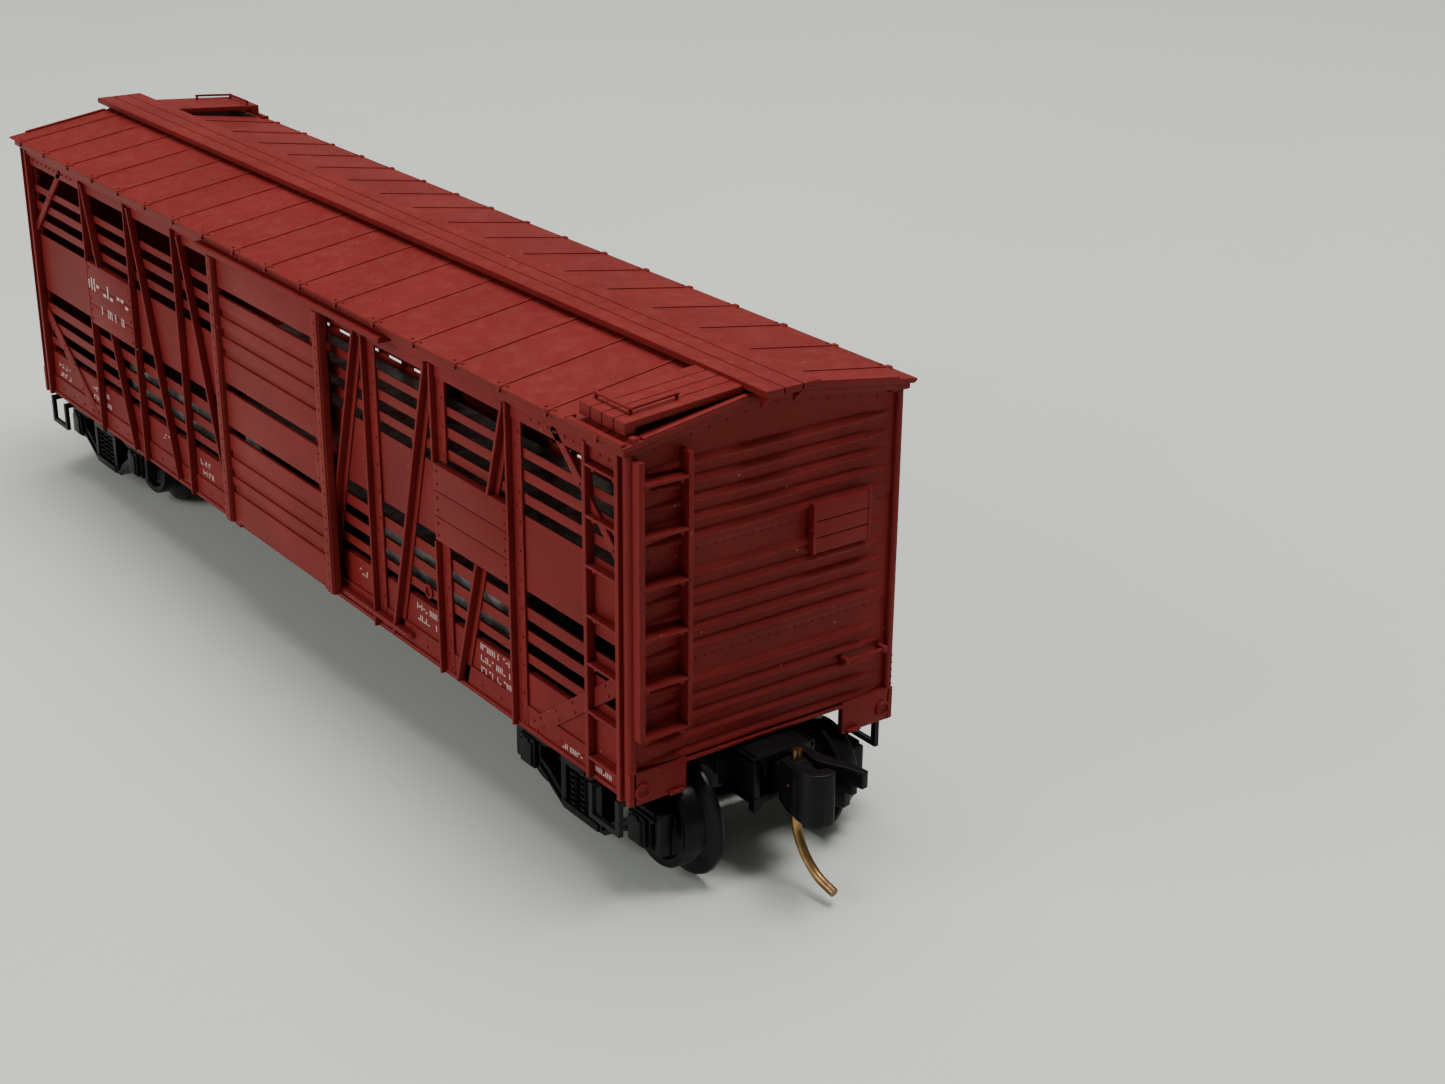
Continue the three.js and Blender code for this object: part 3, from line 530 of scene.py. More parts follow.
def makeSideFrame(hand, turn):
    s = Shape(f"side_frame_work_{hand}", "bodyRed")
    heads = Rivets(f"side_rivets_{hand}", 0.105, 0.08, 5)
    face, back = side["face"], timbers["back"]

    def bar(x, z, out, edge=0.035, steps=2):
        y, height = outwards(z, (back, out) if isinstance(out, float) else out)
        s.block(x, y, height, edge, steps, None, turn)

    def sloping(points, width, out):
        y, _ = outwards((0, 0), (back, out))
        s.strip([(p[0], p[1] + sill) for p in points], width, y[0], y[1], 0.03, None, turn)

    def head(x, z, out):
        heads.put((x, -(face + out), z + sill), (0, -1, 0))

    end = side["end"]
    bar((-end, end), (17.55, 18.4), -0.3)
    bar((-end, end), (18.35, 18.79), -0.08, 0.06)
    bar((-end, end), (0, 1.48), -0.4)
    bar((-end, end), (0, 0.28), -0.3)
    bar(side["track"], (18.42, 18.77), (-0.1, 0.71), 0.09, 3)
    y, z = outwards((0.75, 1.05), (-0.42, 0.03))
    first, last = side["ledge"]
    outline = [(first, y[1]), (first, y[0]), (last - 0.4, y[0])] + arc((last - 0.42, y[0] + 0.4), 0.4, -90, 0, 6)
    s.prism(outline + [(last, y[1])], "z", z[0], z[1], 0.06, 2, None, turn)
    for way in (1, -1):
        bar(legs(way, way * side["doorway"][way > 0], side["batten"]), (0.1, 18.4), -0.05)
        for x in side["posts"]:
            broken = x == side["posts"][1]
            runs = ((0.05, 8.1), (12.8, 18.35)) if broken else ((0.05, 18.35),)
            for low, high in runs:
                bar(legs(way, x - 0.09, 0.18), (low, high), 0.0)
                bar(legs(way, x, 0.95), (low, high), -0.36)
                for k in range(int((high - low) / timbers["postHead"])):
                    z = low + 0.45 + k * timbers["postHead"]
                    head(way * (x + (0.38 if k % 2 else 0.7)), z, -0.36)
        for a, b in timbers["diagonals"]:
            pa, pb = (way * a[0], a[1]), (way * b[0], b[1])
            parts = [(pa, pb)]
            if a is timbers["diagonals"][-1][0]:  # stops at the letter board
                upper, lower = [(way * (a[0] + (b[0] - a[0]) * (a[1] - z) / (a[1] - b[1])), z)
                                for z in timbers["boardLimits"]]
                parts = [(pa, upper), (lower, pb)]
            for p, q in parts:
                sloping((p, q), 0.2, 0.0)
                shift = 0.3 * way
                sloping(((p[0] + shift, p[1]), (q[0] + shift, q[1])), 0.5, -0.4)
        near, far = timbers["plankEnds"]
        for z in timbers["planks"]:  # letter board of three planks
            bar(legs(way, near, far - near), z, -0.03, 0.05)
        for x in (20.85, 27.85):
            for z in (8.55, 9.25, 10.05, 10.75, 11.55, 12.3):
                head(way * x, z, -0.03)
        sloping([(way * x, z) for x, z in timbers["brace"]], 0.5, -0.3)
        for t in (0.04, 0.12, 0.42, 0.5, 0.9, 0.97):
            head(way * (32.2 + 6.0 * t), 18.2 - 5.4 * t, -0.3)
        sloping([(way * x, z) for x, z in timbers["gusset"]], 0.95, -0.38)
        for t in (0.05, 0.12, 0.3, 0.48, 0.66, 0.84):
            for across in (-0.28, 0.28):
                head(way * (29.5 + 8.7 * t - across * 0.55), 0.3 + 6.15 * t + across * 0.8, -0.38)
        bar(legs(way, 38.12, end - 38.12), (0, 18.79), 0.0)
        for k in range(11):
            head(way * (30.29 + k * 0.78), 18.0, -0.3)
        for x in range(18 if way > 0 else 8, 38, 2):
            head(way * (x + 0.4), 0.75, -0.4)
    bar((35.3, 35.6), (0.1, 18.5), 0.0)
    for z in side["rungs"]:
        bar((35.5, 38.2), (z - 0.16, z), -0.01, 0.03)
        for x in (35.95, 37.8):
            bar((x - 0.13, x + 0.13), (z - 0.42, z - 0.1), -0.2, 0.03)
    for x, z in timbers["rings"]:  # small raised rings
        ring = [(0.28, -0.06), (0.42, -0.06), (0.42, 0.06), (0.28, 0.06), (0.28, -0.06)]
        s.lathe(ring, Matrix.Translation((x, -(face - 0.46), z + sill)) @ Matrix.Rotation(math.pi / 2, 4, "X"),
                20, None, turn)
    s.done("car", "body_red", [f"side_frame_ladder_{hand}", f"side_frame_plain_{hand}",
                               f"door_track_{hand}", f"door_ledge_{hand}"])
    heads.done("car", "body_red", "bodyRed", turn)


stencils = [  # x from, x to, line heights above the sill edge, letter height, outward face
    (24.2, 27.6, (3.05, 2.35, 1.65, 0.95), 0.36, -0.5), (17.2, 19.8, (2.9, 2.2), 0.36, -0.5),
    (10.3, 11.6, (2.6,), 0.36, -0.5), (32.3, 37.2, (0.62,), 0.3, -0.4),
    (-28.0, -20.8, (11.2,), 0.9, -0.03), (-26.0, -21.5, (9.6,), 0.6, -0.03),
    (-37.0, -34.9, (2.6, 1.9), 0.36, -0.5), (-30.5, -27.3, (2.6, 1.9), 0.36, -0.5),
    (-18.0, -16.2, (2.6,), 0.36, -0.5), (-12.0, -10.1, (2.6, 1.9), 0.36, -0.5)]


def makeStencils(hand, turn):
    points, sizes, leans = [], [], []
    for low, high, lines, height, out in stencils:
        for z in lines:
            x = low
            while x < high:
                width = height * dice.choice((0.22, 0.22, 0.5))
                tall = height * (1.0 if width < height * 0.3 else 0.24)
                if dice.random() < 0.8 and x + width < high:
                    lift = 0 if tall == height else height * dice.choice((-0.38, 0, 0.38))
                    points.append((x + width / 2, -(side["face"] + out + 0.006), z + lift + sill))
                    sizes.append((width * mm, 0.02 * mm, tall * mm))
                    leans.append((0, 0, 0))
                x += width + height * 0.3
    barGrowth.grow(f"stencil_marks_{hand}", points, {"size": sizes, "lean": leans},
                   {"Seed": 1, "Material": finishes["stencilPaint"]}, "car", "body_red", turn)


for hand, turn in (("right", None), ("left", halfTurn)):
    makeSideBoards(hand, turn)
    makeSideFrame(hand, turn)
    makeStencils(hand, turn)
print("stage: sides")

door = {"x": (-6.05, 8.85), "z": (0.68, 18.35), "stile": 0.8, "gap": 0.24, "front": 0.65,
        "open": (7.0, 9.9, 16.1), "shallow": (3.0, 4.1, 5.4, 12.15, 13.45, 14.75)}


def makeDoor(hand, turn):
    s = Shape(f"door_leaf_{hand}", "doorRed")
    heads = Rivets(f"door_rivets_{hand}", 0.1, 0.06, 9)
    (x0, x1), (foot, top), half = door["x"], door["z"], door["gap"]

    def bar(x, z, out, edge=0.04):
        y, height = outwards(z, out)
        s.block(x, y, height, edge, 2, None, turn)

    def panels(lines, x, out, edge):
        limits = [foot] + [v for line in sorted(lines) for v in (line - half, line + half)] + [top]
        for low, high in zip(limits[::2], limits[1::2]):
            bar(x, (low + 0.02, high - 0.02), out, edge)

    panels(door["open"], (x0 + 0.1, x1 - 0.1), (0.06, 0.15), 0.02)
    panels(door["open"] + door["shallow"], (x0 + 0.7, x1 - 0.7), (0.08, 0.29), 0.06)
    for low, high in ((x0, x0 + door["stile"]), (x1 - door["stile"], x1)):
        bar((low, high), (foot, top), (0.05, door["front"] - 0.1), 0.05)
        bar((low + 0.06, high - 0.06), (foot + 0.05, top - 0.05), (0.3, door["front"]), 0.06)
        for k in range(23):
            heads.put(((low + high) / 2, -(side["face"] + door["front"]), sill + 1.1 + k * 0.75), (0, -1, 0))
    bar((x1 - 1.5, x1 - 0.9), (7.5, 9.3), (0.25, 0.5), 0.06)  # latch bar
    for z in (7.8, 9.0):
        heads.put((x1 - 1.2, -(side["face"] + 0.5), sill + z), (0, -1, 0))
    s.done(f"door_{hand}", "door_red", [f"door_{hand}"])
    heads.done(f"door_{hand}", "door_red", "doorRed", turn)


for hand, turn in (("right", None), ("left", halfTurn)):
    makeDoor(hand, turn)
print("stage: doors")

end = {"sheet": 39.05, "face": 39.3, "foot": 1.58, "rib": 0.245,
       "ribs": (17.67, 16.67, 15.7, 14.72, 13.75, 11.75, 10.7, 9.72, 8.75, 7.83, 5.83, 4.87, 3.92, 2.92, 1.97),
       "flat": 5.6, "fade": 7.9, "seams": (13.2, 7.27), "lap": 0.05, "back": 38.55, "halfW": 8.3,
       "columns": 120, "rows": 240}


def relief(y, z):  # how far the corrugated sheet stands out at a place
    out = 0.0
    reach = abs(y)
    for rib in end["ribs"]:
        away = abs(z - rib) * (1.0 if z > rib else 1.7)  # steeper underneath
        if away > 0.55:
            continue
        taper = 1.0 if reach < end["flat"] else max(0.0, (end["fade"] - reach) / (end["fade"] - end["flat"]))
        half = 0.12 + 0.2 * taper
        if away < half:
            out = max(out, end["rib"] * min(1.0, taper * 1.4) * math.cos(away / half * math.pi / 2) ** 0.6)
    return out


def makeEnd(letter, turn):
    s = Shape(f"end_sheet_{letter}", "bodyRed")
    heads = Rivets(f"end_rivets_{letter}", 0.065, 0.05, 11)
    part = bmesh.new()
    columns = [end["halfW"] * (2 * k / end["columns"] - 1) for k in range(end["columns"] + 1)]
    slope = lambda y: 18.88 + 0.15 * (7.58 - abs(y)) if abs(y) < 7.58 else 18.76
    rows, grid = end["rows"], []
    for y in columns:
        top = slope(y)
        grid.append([])
        for k in range(rows + 1):
            z = end["foot"] + (top - end["foot"]) * k / rows
            lap = end["lap"] * sum(z > seam for seam in end["seams"])
            grid[-1].append(part.verts.new((end["sheet"] - 0.1 + lap + relief(y, z), y, z + sill)))
    for a, b in zip(grid, grid[1:]):
        for k in range(rows):
            part.faces.new((a[k], b[k], b[k + 1], a[k + 1]))
    made = bmesh.ops.extrude_edge_only(part, edges=[e for e in part.edges if e.is_boundary])
    for v in [g for g in made["geom"] if isinstance(g, bmesh.types.BMVert)]:
        v.co.x = end["back"]
    part.faces.new(sortedLoop(part))
    bmesh.ops.recalc_face_normals(part, faces=part.faces)
    s.take(part, 0, 1, None, turn)

    def bar(x, y, z, edge=0.05):
        s.block(x, y, (z[0] + sill, z[1] + sill), edge, 2, None, turn)

    for way in (-1, 1):
        y = lambda a, b: tuple(sorted((way * a, way * b)))
        bar((38.9, end["face"]), y(5.1, 8.6), (0.02, 1.9), 0.08)
        corner = [(38.52, way * 8.1), (38.95, way * 8.1), (39.22, way * 8.1), (end["face"], way * 8.2)]
        corner += [(39.0 + 0.3 * math.cos(t), way * (8.31 + 0.3 * math.sin(t)))
                   for t in [math.radians(a) for a in (0, 22, 45, 68, 90)]]
        corner += [(38.95, way * 8.61), (38.92, way * 8.4), (38.52, way * 8.4)]
        s.prism(corner, "z", sill + 0.02, sill + 18.77, 0.02, 1, None, turn)
        bar((39, 39.52), y(5.35, 6.25), (0.08, 0.26), 0.04)
        pocket = [(0, -0.3), (0.46, -0.3), (0.46, 0.1), (0.4, 0.17), (0.33, 0.17), (0.28, 0.06), (0.12, 0.04),
                  (0, 0.05)]
        s.lathe(pocket, Matrix.Translation((end["face"], way * 7.85, sill + 0.78))
                @ Matrix.Rotation(math.pi / 2, 4, "Y"), 24, None, turn)
        for z in [0.45 + 0.42 * k for k in range(9)]:
            heads.put((end["face"], way * 8.42, sill + z), (1, 0, 0))
    bar((38.5, end["face"]), (-5.2, 5.2), (end["foot"], 1.76), 0.05)
    for step, seam in enumerate(end["seams"]):  # each sheet laps over the one below
        x, z = end["sheet"] - end["lap"] * (step + 1), sill + seam - 0.2
        heads.row((x, -7.8, z), (x, 7.8, z), 0.583, (1, 0, 0))
    for way in (-1, 1):
        under = [(end["sheet"], way * y, sill + z) for y, z in ((0.4, 19.72), (8.0, 18.55))]
        heads.row(*under, 1.06, (1, 0, 0))
    for z in (17.7, 11.75, 7.85):
        for y in (-6.0, -1.7, 2.4, 6.6):
            heads.put((end["sheet"] + 0.12, y, sill + z + 0.1), (1, 0, 0.4))
    bar((39.42, 39.6), (4.95, 7.75), (4.4, 4.58), 0.06)
    for y in ((4.9, 5.2), (7.5, 7.8)):
        bar((39, 39.66), y, (4.3, 4.66), 0.07)
    s.done("car", "body_red", [f"end_wall_{letter}"])
    heads.done("car", "body_red", "bodyRed", turn)

    ladder = Shape(f"end_ladder_bars_{letter}", "bodyRed")
    for y in ((-8.35, -8.0), (-5.45, -5.15)):
        ladder.block((39.05, 39.88), y, (sill + 3.82, sill + 18.58), 0.05, 2, None, turn)
    for z in side["rungs"][1:]:
        ladder.block((39.1, 39.88), (-8.1, -5.3), (sill + z - 0.16, sill + z), 0.03, 2, None, turn)
        for y in (-7.75, -5.65):
            foot = (sill + z - 0.4, sill + z - 0.1)
            ladder.block((39.1, 39.7), (y - 0.12, y + 0.12), foot, 0.03, 2, None, turn)
    ladder.done("car", "body_red", [f"end_ladder_{letter}"])
    tack = Shape(f"tack_board_planks_{letter}", "bodyRed")
    for low, high in ((11.2, 12.02), (12.06, 12.92), (12.96, 13.9)):
        tack.block((39.1, 39.58), (2.62, 6.23), (sill + low, sill + high), 0.05, 2, None, turn)
    for y in ((2.52, 2.72), (6.13, 6.33)):
        tack.block((39.1, 39.61), y, (sill + 11.17, sill + 13.93), 0.04, 2, None, turn)
    tack.done("car", "body_red", [f"tack_board_{letter}"])


def sortedLoop(part):  # the open rim's corners in order
    edges = [e for e in part.edges if e.is_boundary]
    first = edges[0].verts[0]
    loop, last, here = [first], None, first
    while True:
        step = next(e for e in here.link_edges if e.is_boundary and e is not last)
        here, last = step.other_vert(here), step
        if here is first:
            return loop
        loop.append(here)


for letter, turn in (("a", None), ("b", halfTurn)):
    makeEnd(letter, turn)
print("stage: ends")

roof = {"halfW": 9.1, "halfL": 39.62, "eave": 19.4, "slope": 0.15, "pitch": 4.4, "rib": (0.26, 0.07),
        "ribTop": 1.2}
ridge = roof["eave"] + roof["slope"] * roof["halfW"]


def makeRoof():
    s = Shape("roof_sheet", "roofRed")
    w, e = roof["halfW"], roof["eave"] + sill
    top = ridge + sill
    outline = [(-w, e - 0.1), (-8.9, e - 0.24), (0, top - 0.28), (8.9, e - 0.24), (w, e - 0.1), (w, e), (0, top),
               (-w, e)]
    s.prism(outline, "x", -roof["halfL"], roof["halfL"], 0.05, 3)
    under = [(-8.85, sill + 18.81), (-7.62, sill + 18.81), (-7.62, sill + 18.93), (0, sill + 20.06),
             (7.62, sill + 18.93), (7.62, sill + 18.81), (8.85, sill + 18.81), (8.85, e - 0.15), (0, top - 0.2),
             (-8.85, e - 0.15)]
    s.prism(under, "x", -39.34, 39.34, 0.04, 2)
    heads = Rivets("roof_rivets", 0.1, 0.09, 21)
    points, sizes, leans = [], [], []
    lean = math.atan(roof["slope"])
    x = roof["pitch"] / 2
    stations = []
    while x < roof["halfL"] - 1:
        stations += [x, -x]
        x += roof["pitch"]
    for x in stations:
        for way in (-1, 1):
            middle = (roof["ribTop"] + w) / 2
            points.append((x, way * middle, top - roof["slope"] * middle + 0.015))
            sizes.append((roof["rib"][0] * mm, (w - roof["ribTop"]) * mm, roof["rib"][1] * mm))
            leans.append((-way * lean, 0, 0))
            s.block((x - 0.2, x + 0.2), sorted((way * (w - 0.5), way * (w + 0.06))), (e - 0.12, e + 0.085), 0.05)
            s.block((x - 0.11, x + 0.11), sorted((way * (w - 0.1), way * (w + 0.07))), (e - 0.3, e - 0.02), 0.04)
            heads.put((x - 0.42, way * (w - 0.28), e + 0.05), (0, 0, 1))
            heads.put((x + 0.42, way * (w - 0.28), e + 0.05), (0, 0, 1))
    for turn in (None, halfTurn):  # trim on the eave beside each corner platform
        s.block((34.6, 39.5), (-w, -w + 0.34), (e - 0.08, e + 0.2), 0.07, 3, None, turn)
        s.block((34.6, 34.8), (-w, -w + 0.62), (e - 0.02, e + 0.24), 0.06, 2, None, turn)
        s.block((39.15, 39.6), (-8.5, -8.1), (e - 0.1, e + 0.38), 0.1, 3, None, turn)
    for way in (-1, 1):  # raised lip along each half of both ends
        for sign in (-1, 1):
            lip = [(1.75, top - 0.27), (7.9, e + 0.15), (7.9, e + 0.29), (1.75, top - 0.13)]
            s.prism([(sign * y, z) for y, z in lip], "x", *sorted((way * 39.3, way * 39.6)), 0.05)
    barGrowth.grow("roof_ribs", points, {"size": sizes, "lean": leans},
                   {"Seed": 1, "Material": finishes["roofRed"]}, "car", "roof_red")
    s.done("car", "roof_red", ["roof"])
    heads.done("car", "roof_red", "roofRed")


board = {"top": 21.15, "thick": 0.38, "halfL": 40.93, "planks": ((-1.69, -0.6), (-0.54, 0.54), (0.6, 1.69)),
         "corner": (35.1, 39.1), "reach": 8.58, "fall": 0.0763}


def makeRunningBoard():
    s = Shape("running_board_planks", "roofRed")
    nails = Rivets("running_board_nails", 0.085, 0.035, 31)
    top = board["top"] + sill
    under = top - board["thick"]
    for y in board["planks"]:
        s.block((-board["halfL"], board["halfL"]), y, (under, top), 0.06, 3)
    x = roof["pitch"] / 2
    while x < roof["halfL"]:
        for way in (-1, 1):
            s.block((way * x - 0.25, way * x + 0.25), (-1.6, 1.6), (under - 0.005, under + 0.2), 0.03)
            for y in board["planks"]:
                nails.put((way * x - 0.12, y[0] + 0.25, top - 0.005), (0, 0, 1))
                nails.put((way * x + 0.12, y[1] - 0.25, top - 0.005), (0, 0, 1))
        x += roof["pitch"]
    for way in (1, -1):
        turn = None if way > 0 else halfTurn
        level = lambda d: top - 0.2 - board["fall"] * (d - 1.65)
        reach = board["reach"]
        outline = [(-1.6, level(1.6) - 0.39), (-7.9, level(7.9) - 0.39), (-8.0, level(8) - 0.66),
                   (-reach, level(reach) - 0.66), (-reach, level(reach)), (-1.6, level(1.6))]
        pitch = (board["corner"][1] - board["corner"][0]) / 4
        for i in range(4):
            x0 = board["corner"][0] + i * pitch
            s.prism(outline, "x", x0 + 0.035, x0 + pitch - 0.035, 0.07, 3, None, turn)
            for d in (2.8, 7.6):
                for dx in (0.25, pitch - 0.25):
                    point = Vector((x0 + dx, -d, level(d) - 0.005))
                    nails.put(point if way > 0 else halfTurn @ point, (0, 0, 1))
        for d in (2.6, 7.4):
            z = level(d) - 0.43
            s.block((board["corner"][0] + 0.2, board["corner"][1] - 0.2), (-d - 0.5, -d), (z, z + 0.2), 0.03,
                    2, None, turn)
        iron = reach - 0.83
        rail = level(iron) + 0.27
        bend = [(35.4, -iron, rail - 0.55), (35.4, -iron, rail - 0.06), (35.47, -iron, rail),
                (38.2, -iron, rail), (38.3, 0.1 - iron, rail + 0.01), (38.3, -5.15, level(5.15) + 0.3),
                (38.3, -5.07, level(5) + 0.24), (38.3, -5.07, level(5) - 0.1)]
        s.tube(smooth(bend, 4), 0.09, 10, None, turn)
        s.tube([(38.3, -iron, rail - 0.55), (38.3, -iron, rail)], 0.09, 10, None, turn)
        for row in (-1, 1):
            bracket = [(39.7, under - 0.88), (39.8, under - 0.88), (40.7, under + 0.05), (39.7, under + 0.05)]
            s.prism(bracket, "y", row - 0.12, row + 0.12, 0.03, 2, None, turn)
    s.done("car", "roof_red", ["running_board"])
    nails.done("car", "roof_red", "roofRed")


makeRoof()
makeRunningBoard()
print("stage: roof")

wheel = {"back": 3.8, "front": 5.7, "flange": 3.42, "tread": 2.58, "sides": 72}
truck = {"x": 32.3, "axles": (("outer", 5.25), ("inner", -5.25)), "frame": (5.97, 6.83), "lip": (6.7, 6.98),
         "bars": (([(-6.5, 4.45), (-4.0, 4.45), (-2.9, 4.75), (-1.9, 5.02)], 0.72), ([(-4.5, 3.1), (-3.6, 2.75),
                  (-1.9, 1.62)], 0.62)),
         "lips": ([(-6.5, 4.42), (-4.0, 4.42), (-1.9, 4.95)], [(-4.3, 2.9), (-1.9, 1.55)]),
         "springs": (-0.95, 0, 0.95), "coil": {"Radius": 0.36, "Wire": 0.075, "Height": 2.3}, "turns": 6.5}
coupler = {"pivot": 7.2, "box": (4.95, 8.58), "halfW": 1.98, "boxZ": (4.96, 7.24), "ring": (0.57, 0.93),
           "knuckleZ": (5.12, 5.87), "guardZ": (5.95, 6.74), "pin": 0.262}


def makeWheelset(letter, place, x, turn):
    body = f"wheelset_{letter}_{place}"
    centre = Matrix.Translation((truck["x"] + x, 0, wheel["flange"]))
    f, t, b, o = wheel["flange"], wheel["tread"], wheel["back"], wheel["front"]
    profile = [(0.6, b), (3.15, b), (f - 0.06, b + 0.06), (f, b + 0.17), (f - 0.04, b + 0.32),
               (f - 0.28, b + 0.48), (t + 0.2, b + 0.56), (t + 0.05, b + 0.7), (t, o - 0.08), (t - 0.07, o),
               (2.2, o), (2.1, o - 0.06), (1.95, o - 0.4), (1.75, o - 0.48), (1.1, o - 0.42), (0.95, o - 0.3),
               (0.9, o), (0.84, o + 0.04), (0.64, o + 0.04), (0.6, o), (0.6, b)]
    for way, name in ((1, "left"), (-1, "right")):
        s = Shape(f"wheel_disc_{letter}_{place}_{name}", "wheelBlack")
        aim = Matrix.Rotation(-math.pi / 2 * way, 4, "X")
        s.lathe(profile, centre @ aim, wheel["sides"], None, turn)
        s.done(body, "wheel_black", [f"wheel_{letter}_{place}_{name}"], 40)
    s = Shape(f"axle_shaft_{letter}_{place}", "steel")
    half = [(0.6, 0), (0.6, 5.85), (0.56, 5.93), (0.06, 6.58), (0, 6.6)]
    aim = Matrix.Rotation(-math.pi / 2, 4, "X")
    s.lathe([(r, -a) for r, a in half[::-1]] + half[1:], centre @ aim, 32, None, turn)
    s.done(body, "axle_steel", [f"axle_{letter}_{place}"], 30)


def rod(s, radius, x, z, turn, y, edge, sides):  # an upright round bar, its x from the truck's middle
    profile = [(0, z[0]), (radius - edge, z[0]), (radius, z[0] + edge), (radius, z[1] - edge),
               (radius - edge, z[1]), (0, z[1])]
    s.lathe(profile, Matrix.Translation((truck["x"] + x, y, 0)), sides, None, turn)


def makeTruck(letter, turn):
    s = Shape(f"truck_casting_{letter}", "truckBlack")
    c = truck["x"]

    def bar(x, y, z, edge=0.06, steps=2):
        s.block((c + x[0], c + x[1]), y, z, edge, steps, None, turn)

    springs = []
    for way in (-1, 1):
        y = lambda a, b: tuple(sorted((way * a, way * b)))

        def strip(points, width, limits):  # one half of its path is given, the other mirrors it
            path = points + [(-x, z) for x, z in points[::-1]]
            s.strip([(c + x, z) for x, z in path], width, *y(*limits), 0.08, None, turn)

        for points, width in truck["bars"]:
            strip(points, width, truck["frame"])
        for points in truck["lips"]:
            strip(points, 0.2, truck["lip"])
        for x in (-1.72, 1.72):
            bar((x - 0.26, x + 0.26), y(5.97, 6.98), (1.55, 4.9), 0.07)
        for x in (-5.25, 5.25):
            bar((x - 0.95, x + 0.95), y(5.97, 6.8), (2.35, 4.5), 0.1)
            bar((x - 0.72, x + 0.72), y(6.6, 7.08), (2.5, 4.3), 0.12, 3)
            bar((x - 0.56, x + 0.56), y(7.0, 7.19), (2.62, 4.05), 0.08, 3)
            bar((x - 0.3, x + 0.3), y(7.0, 7.19), (4.0, 4.22), 0.06)
        for x in (-6.7, 6.7):
            bar((x - 0.28, x + 0.28), y(5.97, 6.7), (2.32, 4.75), 0.08)
        bar((-1.7, 1.7), y(6.0, 7.08), (1.47, 1.95), 0.07)
        bar((-1.85, 1.85), y(5.9, 7.02), (4.2, 4.72), 0.08)
        bar((-0.5, 0.5), y(6.9, 7.1), (4.3, 4.62), 0.05)
        for x in truck["springs"]:
            springs.append((c + x, way * 6.55, 1.93))
            rod(s, 0.2, x, (1.9, 4.25), turn, way * 6.55, 0.03, 12)
    bar((-1.13, 1.13), (-6.0, 6.0), (3.62, 5.38), 0.12, 3)
    s.lathe([(0.97, 3.62), (1.66, 3.62), (1.7, 3.7), (1.7, 5.34), (1.64, 5.38), (0.97, 5.38), (0.97, 3.62)],
            Matrix.Translation((c, 0, 0)), 32, None, turn)
    bar((1.0, 4.89), (-1.48, 1.48), (4.62, 5.33), 0.08)
    s.done(f"truck_{letter}", "truck_black", [f"truck_frame_{letter}"], 40)
    sizes = {name: size * mm for name, size in truck["coil"].items()}
    coil = coilGrowth.grow(f"truck_springs_{letter}", springs, {"outward": [(0, 0, 1)] * len(springs)},
                           {**sizes, "Turns": truck["turns"], "Material": finishes["truckBlack"]},
                           f"truck_{letter}", "truck_black", turn)
    coil.data.polygons.foreach_set("use_smooth", [True] * len(coil.data.polygons))
    pin = Shape(f"kingpin_turned_{letter}", "frameBlack")
    stem = [(0, 3.2), (1.35, 3.2), (1.5, 3.3), (1.5, 3.48), (1.42, 3.55), (0.9, 3.55), (0.9, 7.1), (0.8, 7.15),
            (0, 7.15)]
    pin.lathe(stem, Matrix.Translation((c, 0, 0)), 32, None, turn)
    pin.done("car", "frame_black", [f"kingpin_{letter}"])


def makeCouplerBox(letter, turn):
    c, wide, long, tall = truck["x"], coupler["halfW"], coupler["box"], coupler["boxZ"]
    s = Shape(f"coupler_box_walls_{letter}", "truckBlack")
    walls = [((4.91, 5.34), (-wide, wide), tall, 0.1), (long, (-wide, -1.6), tall, 0.08),
             (long, (1.6, wide), tall, 0.08), (long, (-wide, wide), (6.86, tall[1]), 0.09)]
    for x, y, z, edge in walls:
        s.block((c + x[0], c + x[1]), y, z, edge, 2, None, turn)
    rod(s, 0.5, coupler["pivot"], (4.98, 7.0), turn, 0, 0.03, 24)
    s.block((c + 5.6, c + 7.6), (-1.0, 1.0), (7.2, 7.245), 0.02, 2, None, turn)
    s.done(f"truck_{letter}", "truck_black", [f"coupler_box_{letter}"], 40)

    lid = Shape(f"coupler_lid_plate_{letter}", "truckBlack")
    lid.block((c + 5.42, c + 8.58), (-1.97, 1.97), (4.52, 4.92), 0.08, 2, None, turn)
    for y in ((-1.97, -1.32), (1.32, 1.97)):
        lid.block((c + 8.1, c + 8.57), y, (4.12, 4.7), 0.08, 2, None, turn)
    screw = [(0, 4.4), (0.42, 4.4), (0.5, 4.48), (0.5, 4.6), (0, 4.6)]
    lid.lathe(screw, Matrix.Translation((c + coupler["pivot"], 0, 0)), 20, None, turn)
    lid.done(f"truck_{letter}", "truck_black", [f"coupler_lid_{letter}"])


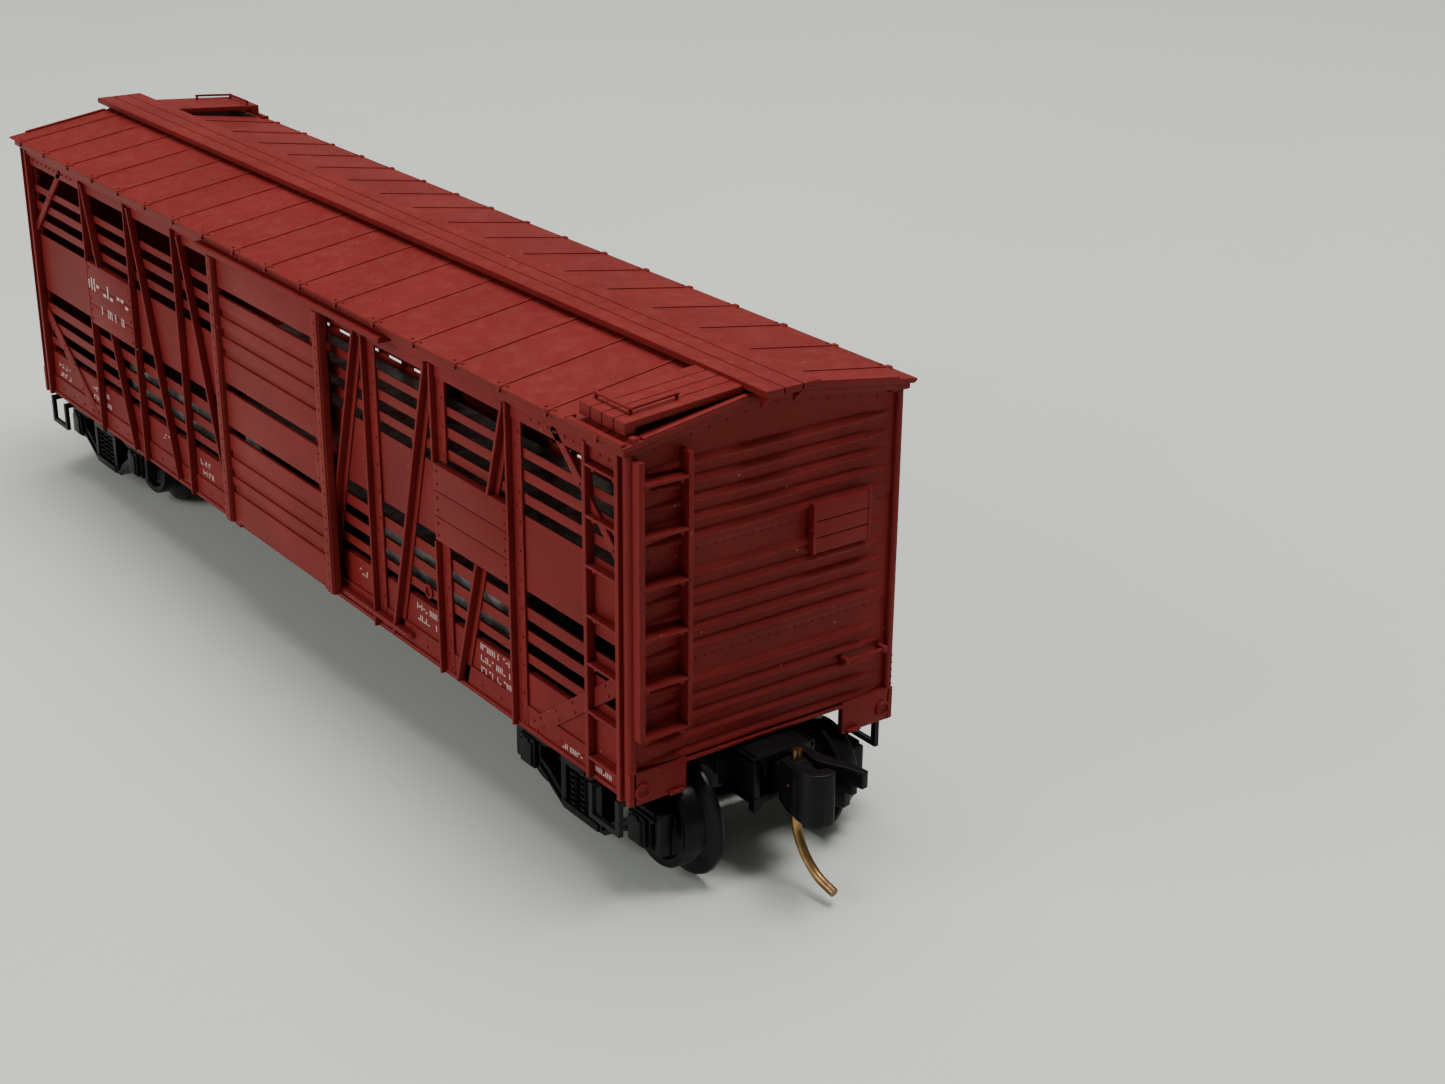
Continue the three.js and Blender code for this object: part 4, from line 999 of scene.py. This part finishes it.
def makeCoupler(letter, turn):
    c = truck["x"]
    post = Matrix.Translation((c + coupler["pivot"], 0, 0))
    knuckle = Shape(f"knuckle_casting_{letter}", "truckBlack")
    at = lambda points: [(c + p[0], p[1]) for p in points]

    def ring(z):
        a, b = coupler["ring"]
        return [(a, z[0]), (b, z[0]), (b, z[1]), (a, z[1]), (a, z[0])]

    hook = [(9.3, -0.98), (10.4, -1.03), (11.2, -1.62), (12.5, -1.58), (13.03, -1.0), (13.08, -0.35),
            (12.75, -0.12), (12.37, -0.26), (12.2, -0.75), (11.5, -0.8), (11.1, -0.3), (10.6, 0.18), (9.3, 0.18)]
    knuckle.prism(at(hook), "z", 5.1, 7.33, 0.1, 3, None, turn)
    tip = [tuple(p) for p in smooth([(10.9, -1.45), (11.7, -1.63), (12.5, -1.56), (12.95, -1.1), (13.07, -0.4),
                                     (12.78, -0.14)], 4)] + [(12.38, -0.26), (12.2, -0.75), (11.3, -0.82)]
    knuckle.prism(at(tip), "z", 5.02, 7.97, 0.12, 3, None, turn)
    knuckle.block((c + 9.32, c + 10.28), (-0.74, 0.18), (4.57, 7.38), 0.1, 3, None, turn)
    knuckle.block((c + 7.9, c + 9.5), (-0.68, 0.68), coupler["knuckleZ"], 0.06, 2, None, turn)
    knuckle.lathe(ring(coupler["knuckleZ"]), post, 28, None, turn)
    knuckle.done(f"knuckle_{letter}", "truck_black", [f"coupler_knuckle_{letter}"], 40)

    guard = Shape(f"guard_arm_casting_{letter}", "truckBlack")
    guard.block((c + 7.9, c + 9.08), (-0.68, 0.68), coupler["guardZ"], 0.06, 2, None, turn)
    guard.lathe(ring(coupler["guardZ"]), post, 28, None, turn)
    arm = [(8.9, 0.32), (10.7, 0.32), (11.3, 0.52), (12.3, 1.07), (13.23, 1.32), (13.18, 1.73), (12.0, 1.58),
           (10.6, 0.98), (8.9, 0.78)]
    guard.prism(at(arm), "z", 6.55, 7.53, 0.09, 3, None, turn)
    guard.prism(at(arm[:4] + [(12.6, 1.2), (12.6, 1.55)] + arm[6:]), "z", 5.97, 6.9, 0.09, 3, None, turn)
    low = [(9.6, 0.32), (10.7, 0.32), (11.3, 0.52), (12.2, 1.02), (12.1, 1.53), (10.6, 0.98), (9.6, 0.78)]
    guard.prism(at(low), "z", 5.12, 6.2, 0.09, 3, None, turn)
    guard.done(f"coupler_{letter}", "truck_black", [f"coupler_guard_{letter}"], 40)

    wire = Shape(f"trip_pin_wire_{letter}", "bronze")
    path = [(9.8, -0.2, 7.9), (9.8, -0.2, 6.6), (9.8, -0.2, 5.2), (9.8, -0.2, 4.2), (10.05, -0.2, 3.1),
            (10.65, -0.15, 2.05), (11.6, -0.05, 1.2), (12.8, 0.05, 0.78)]
    wire.tube([Vector(p) + Vector((c, 0, 0)) for p in smooth(path, 6)], coupler["pin"], 20, None, turn)
    wire.done(f"knuckle_{letter}", "pin_bronze", [f"trip_pin_{letter}"], 40)


for letter, turn in (("a", None), ("b", halfTurn)):
    makeTruck(letter, turn)
    makeCouplerBox(letter, turn)
    makeCoupler(letter, turn)
    for place, x in truck["axles"]:
        makeWheelset(letter, place, x, turn)
print("stage: trucks")


def makeFloorStage():
    data = bpy.data.meshes.new("studio_floor")
    mesh = bmesh.new()
    start, curve = studio["wall"]
    profile = [(-1.2, 0.0), (start, 0.0)] + arc((start, curve), curve, -81, 0, 9) + [(start + curve, 2.2)]
    away = Vector((view["forward"][0], view["forward"][1], 0)).normalized()
    across = Vector((away.y, -away.x, 0))
    rows = [[mesh.verts.new(away * d + across * w + Vector((0, 0, h))) for w in (-2.5, 2.5)]
            for d, h in profile]
    for a, b in zip(rows, rows[1:]):
        mesh.faces.new((a[0], a[1], b[1], b[0]))
    mesh.to_mesh(data)
    mesh.free()
    m = Finish("studioPaper")
    paper = m.noise(m.place(0.02), 1.2, 2.0)
    tone = studio["floor"]
    shade = (*[c * 0.97 for c in tone[:3]], 1)
    m.done(Base_Color=m.blend(m.band(paper, 0.3, 0.7), tone, shade), Roughness=0.6)
    data.materials.append(m.material)
    for face in data.polygons:
        face.use_smooth = True
    floor = bpy.data.objects.new("studio_floor", data)
    bpy.context.collection.objects.link(floor)


makeFloorStage()
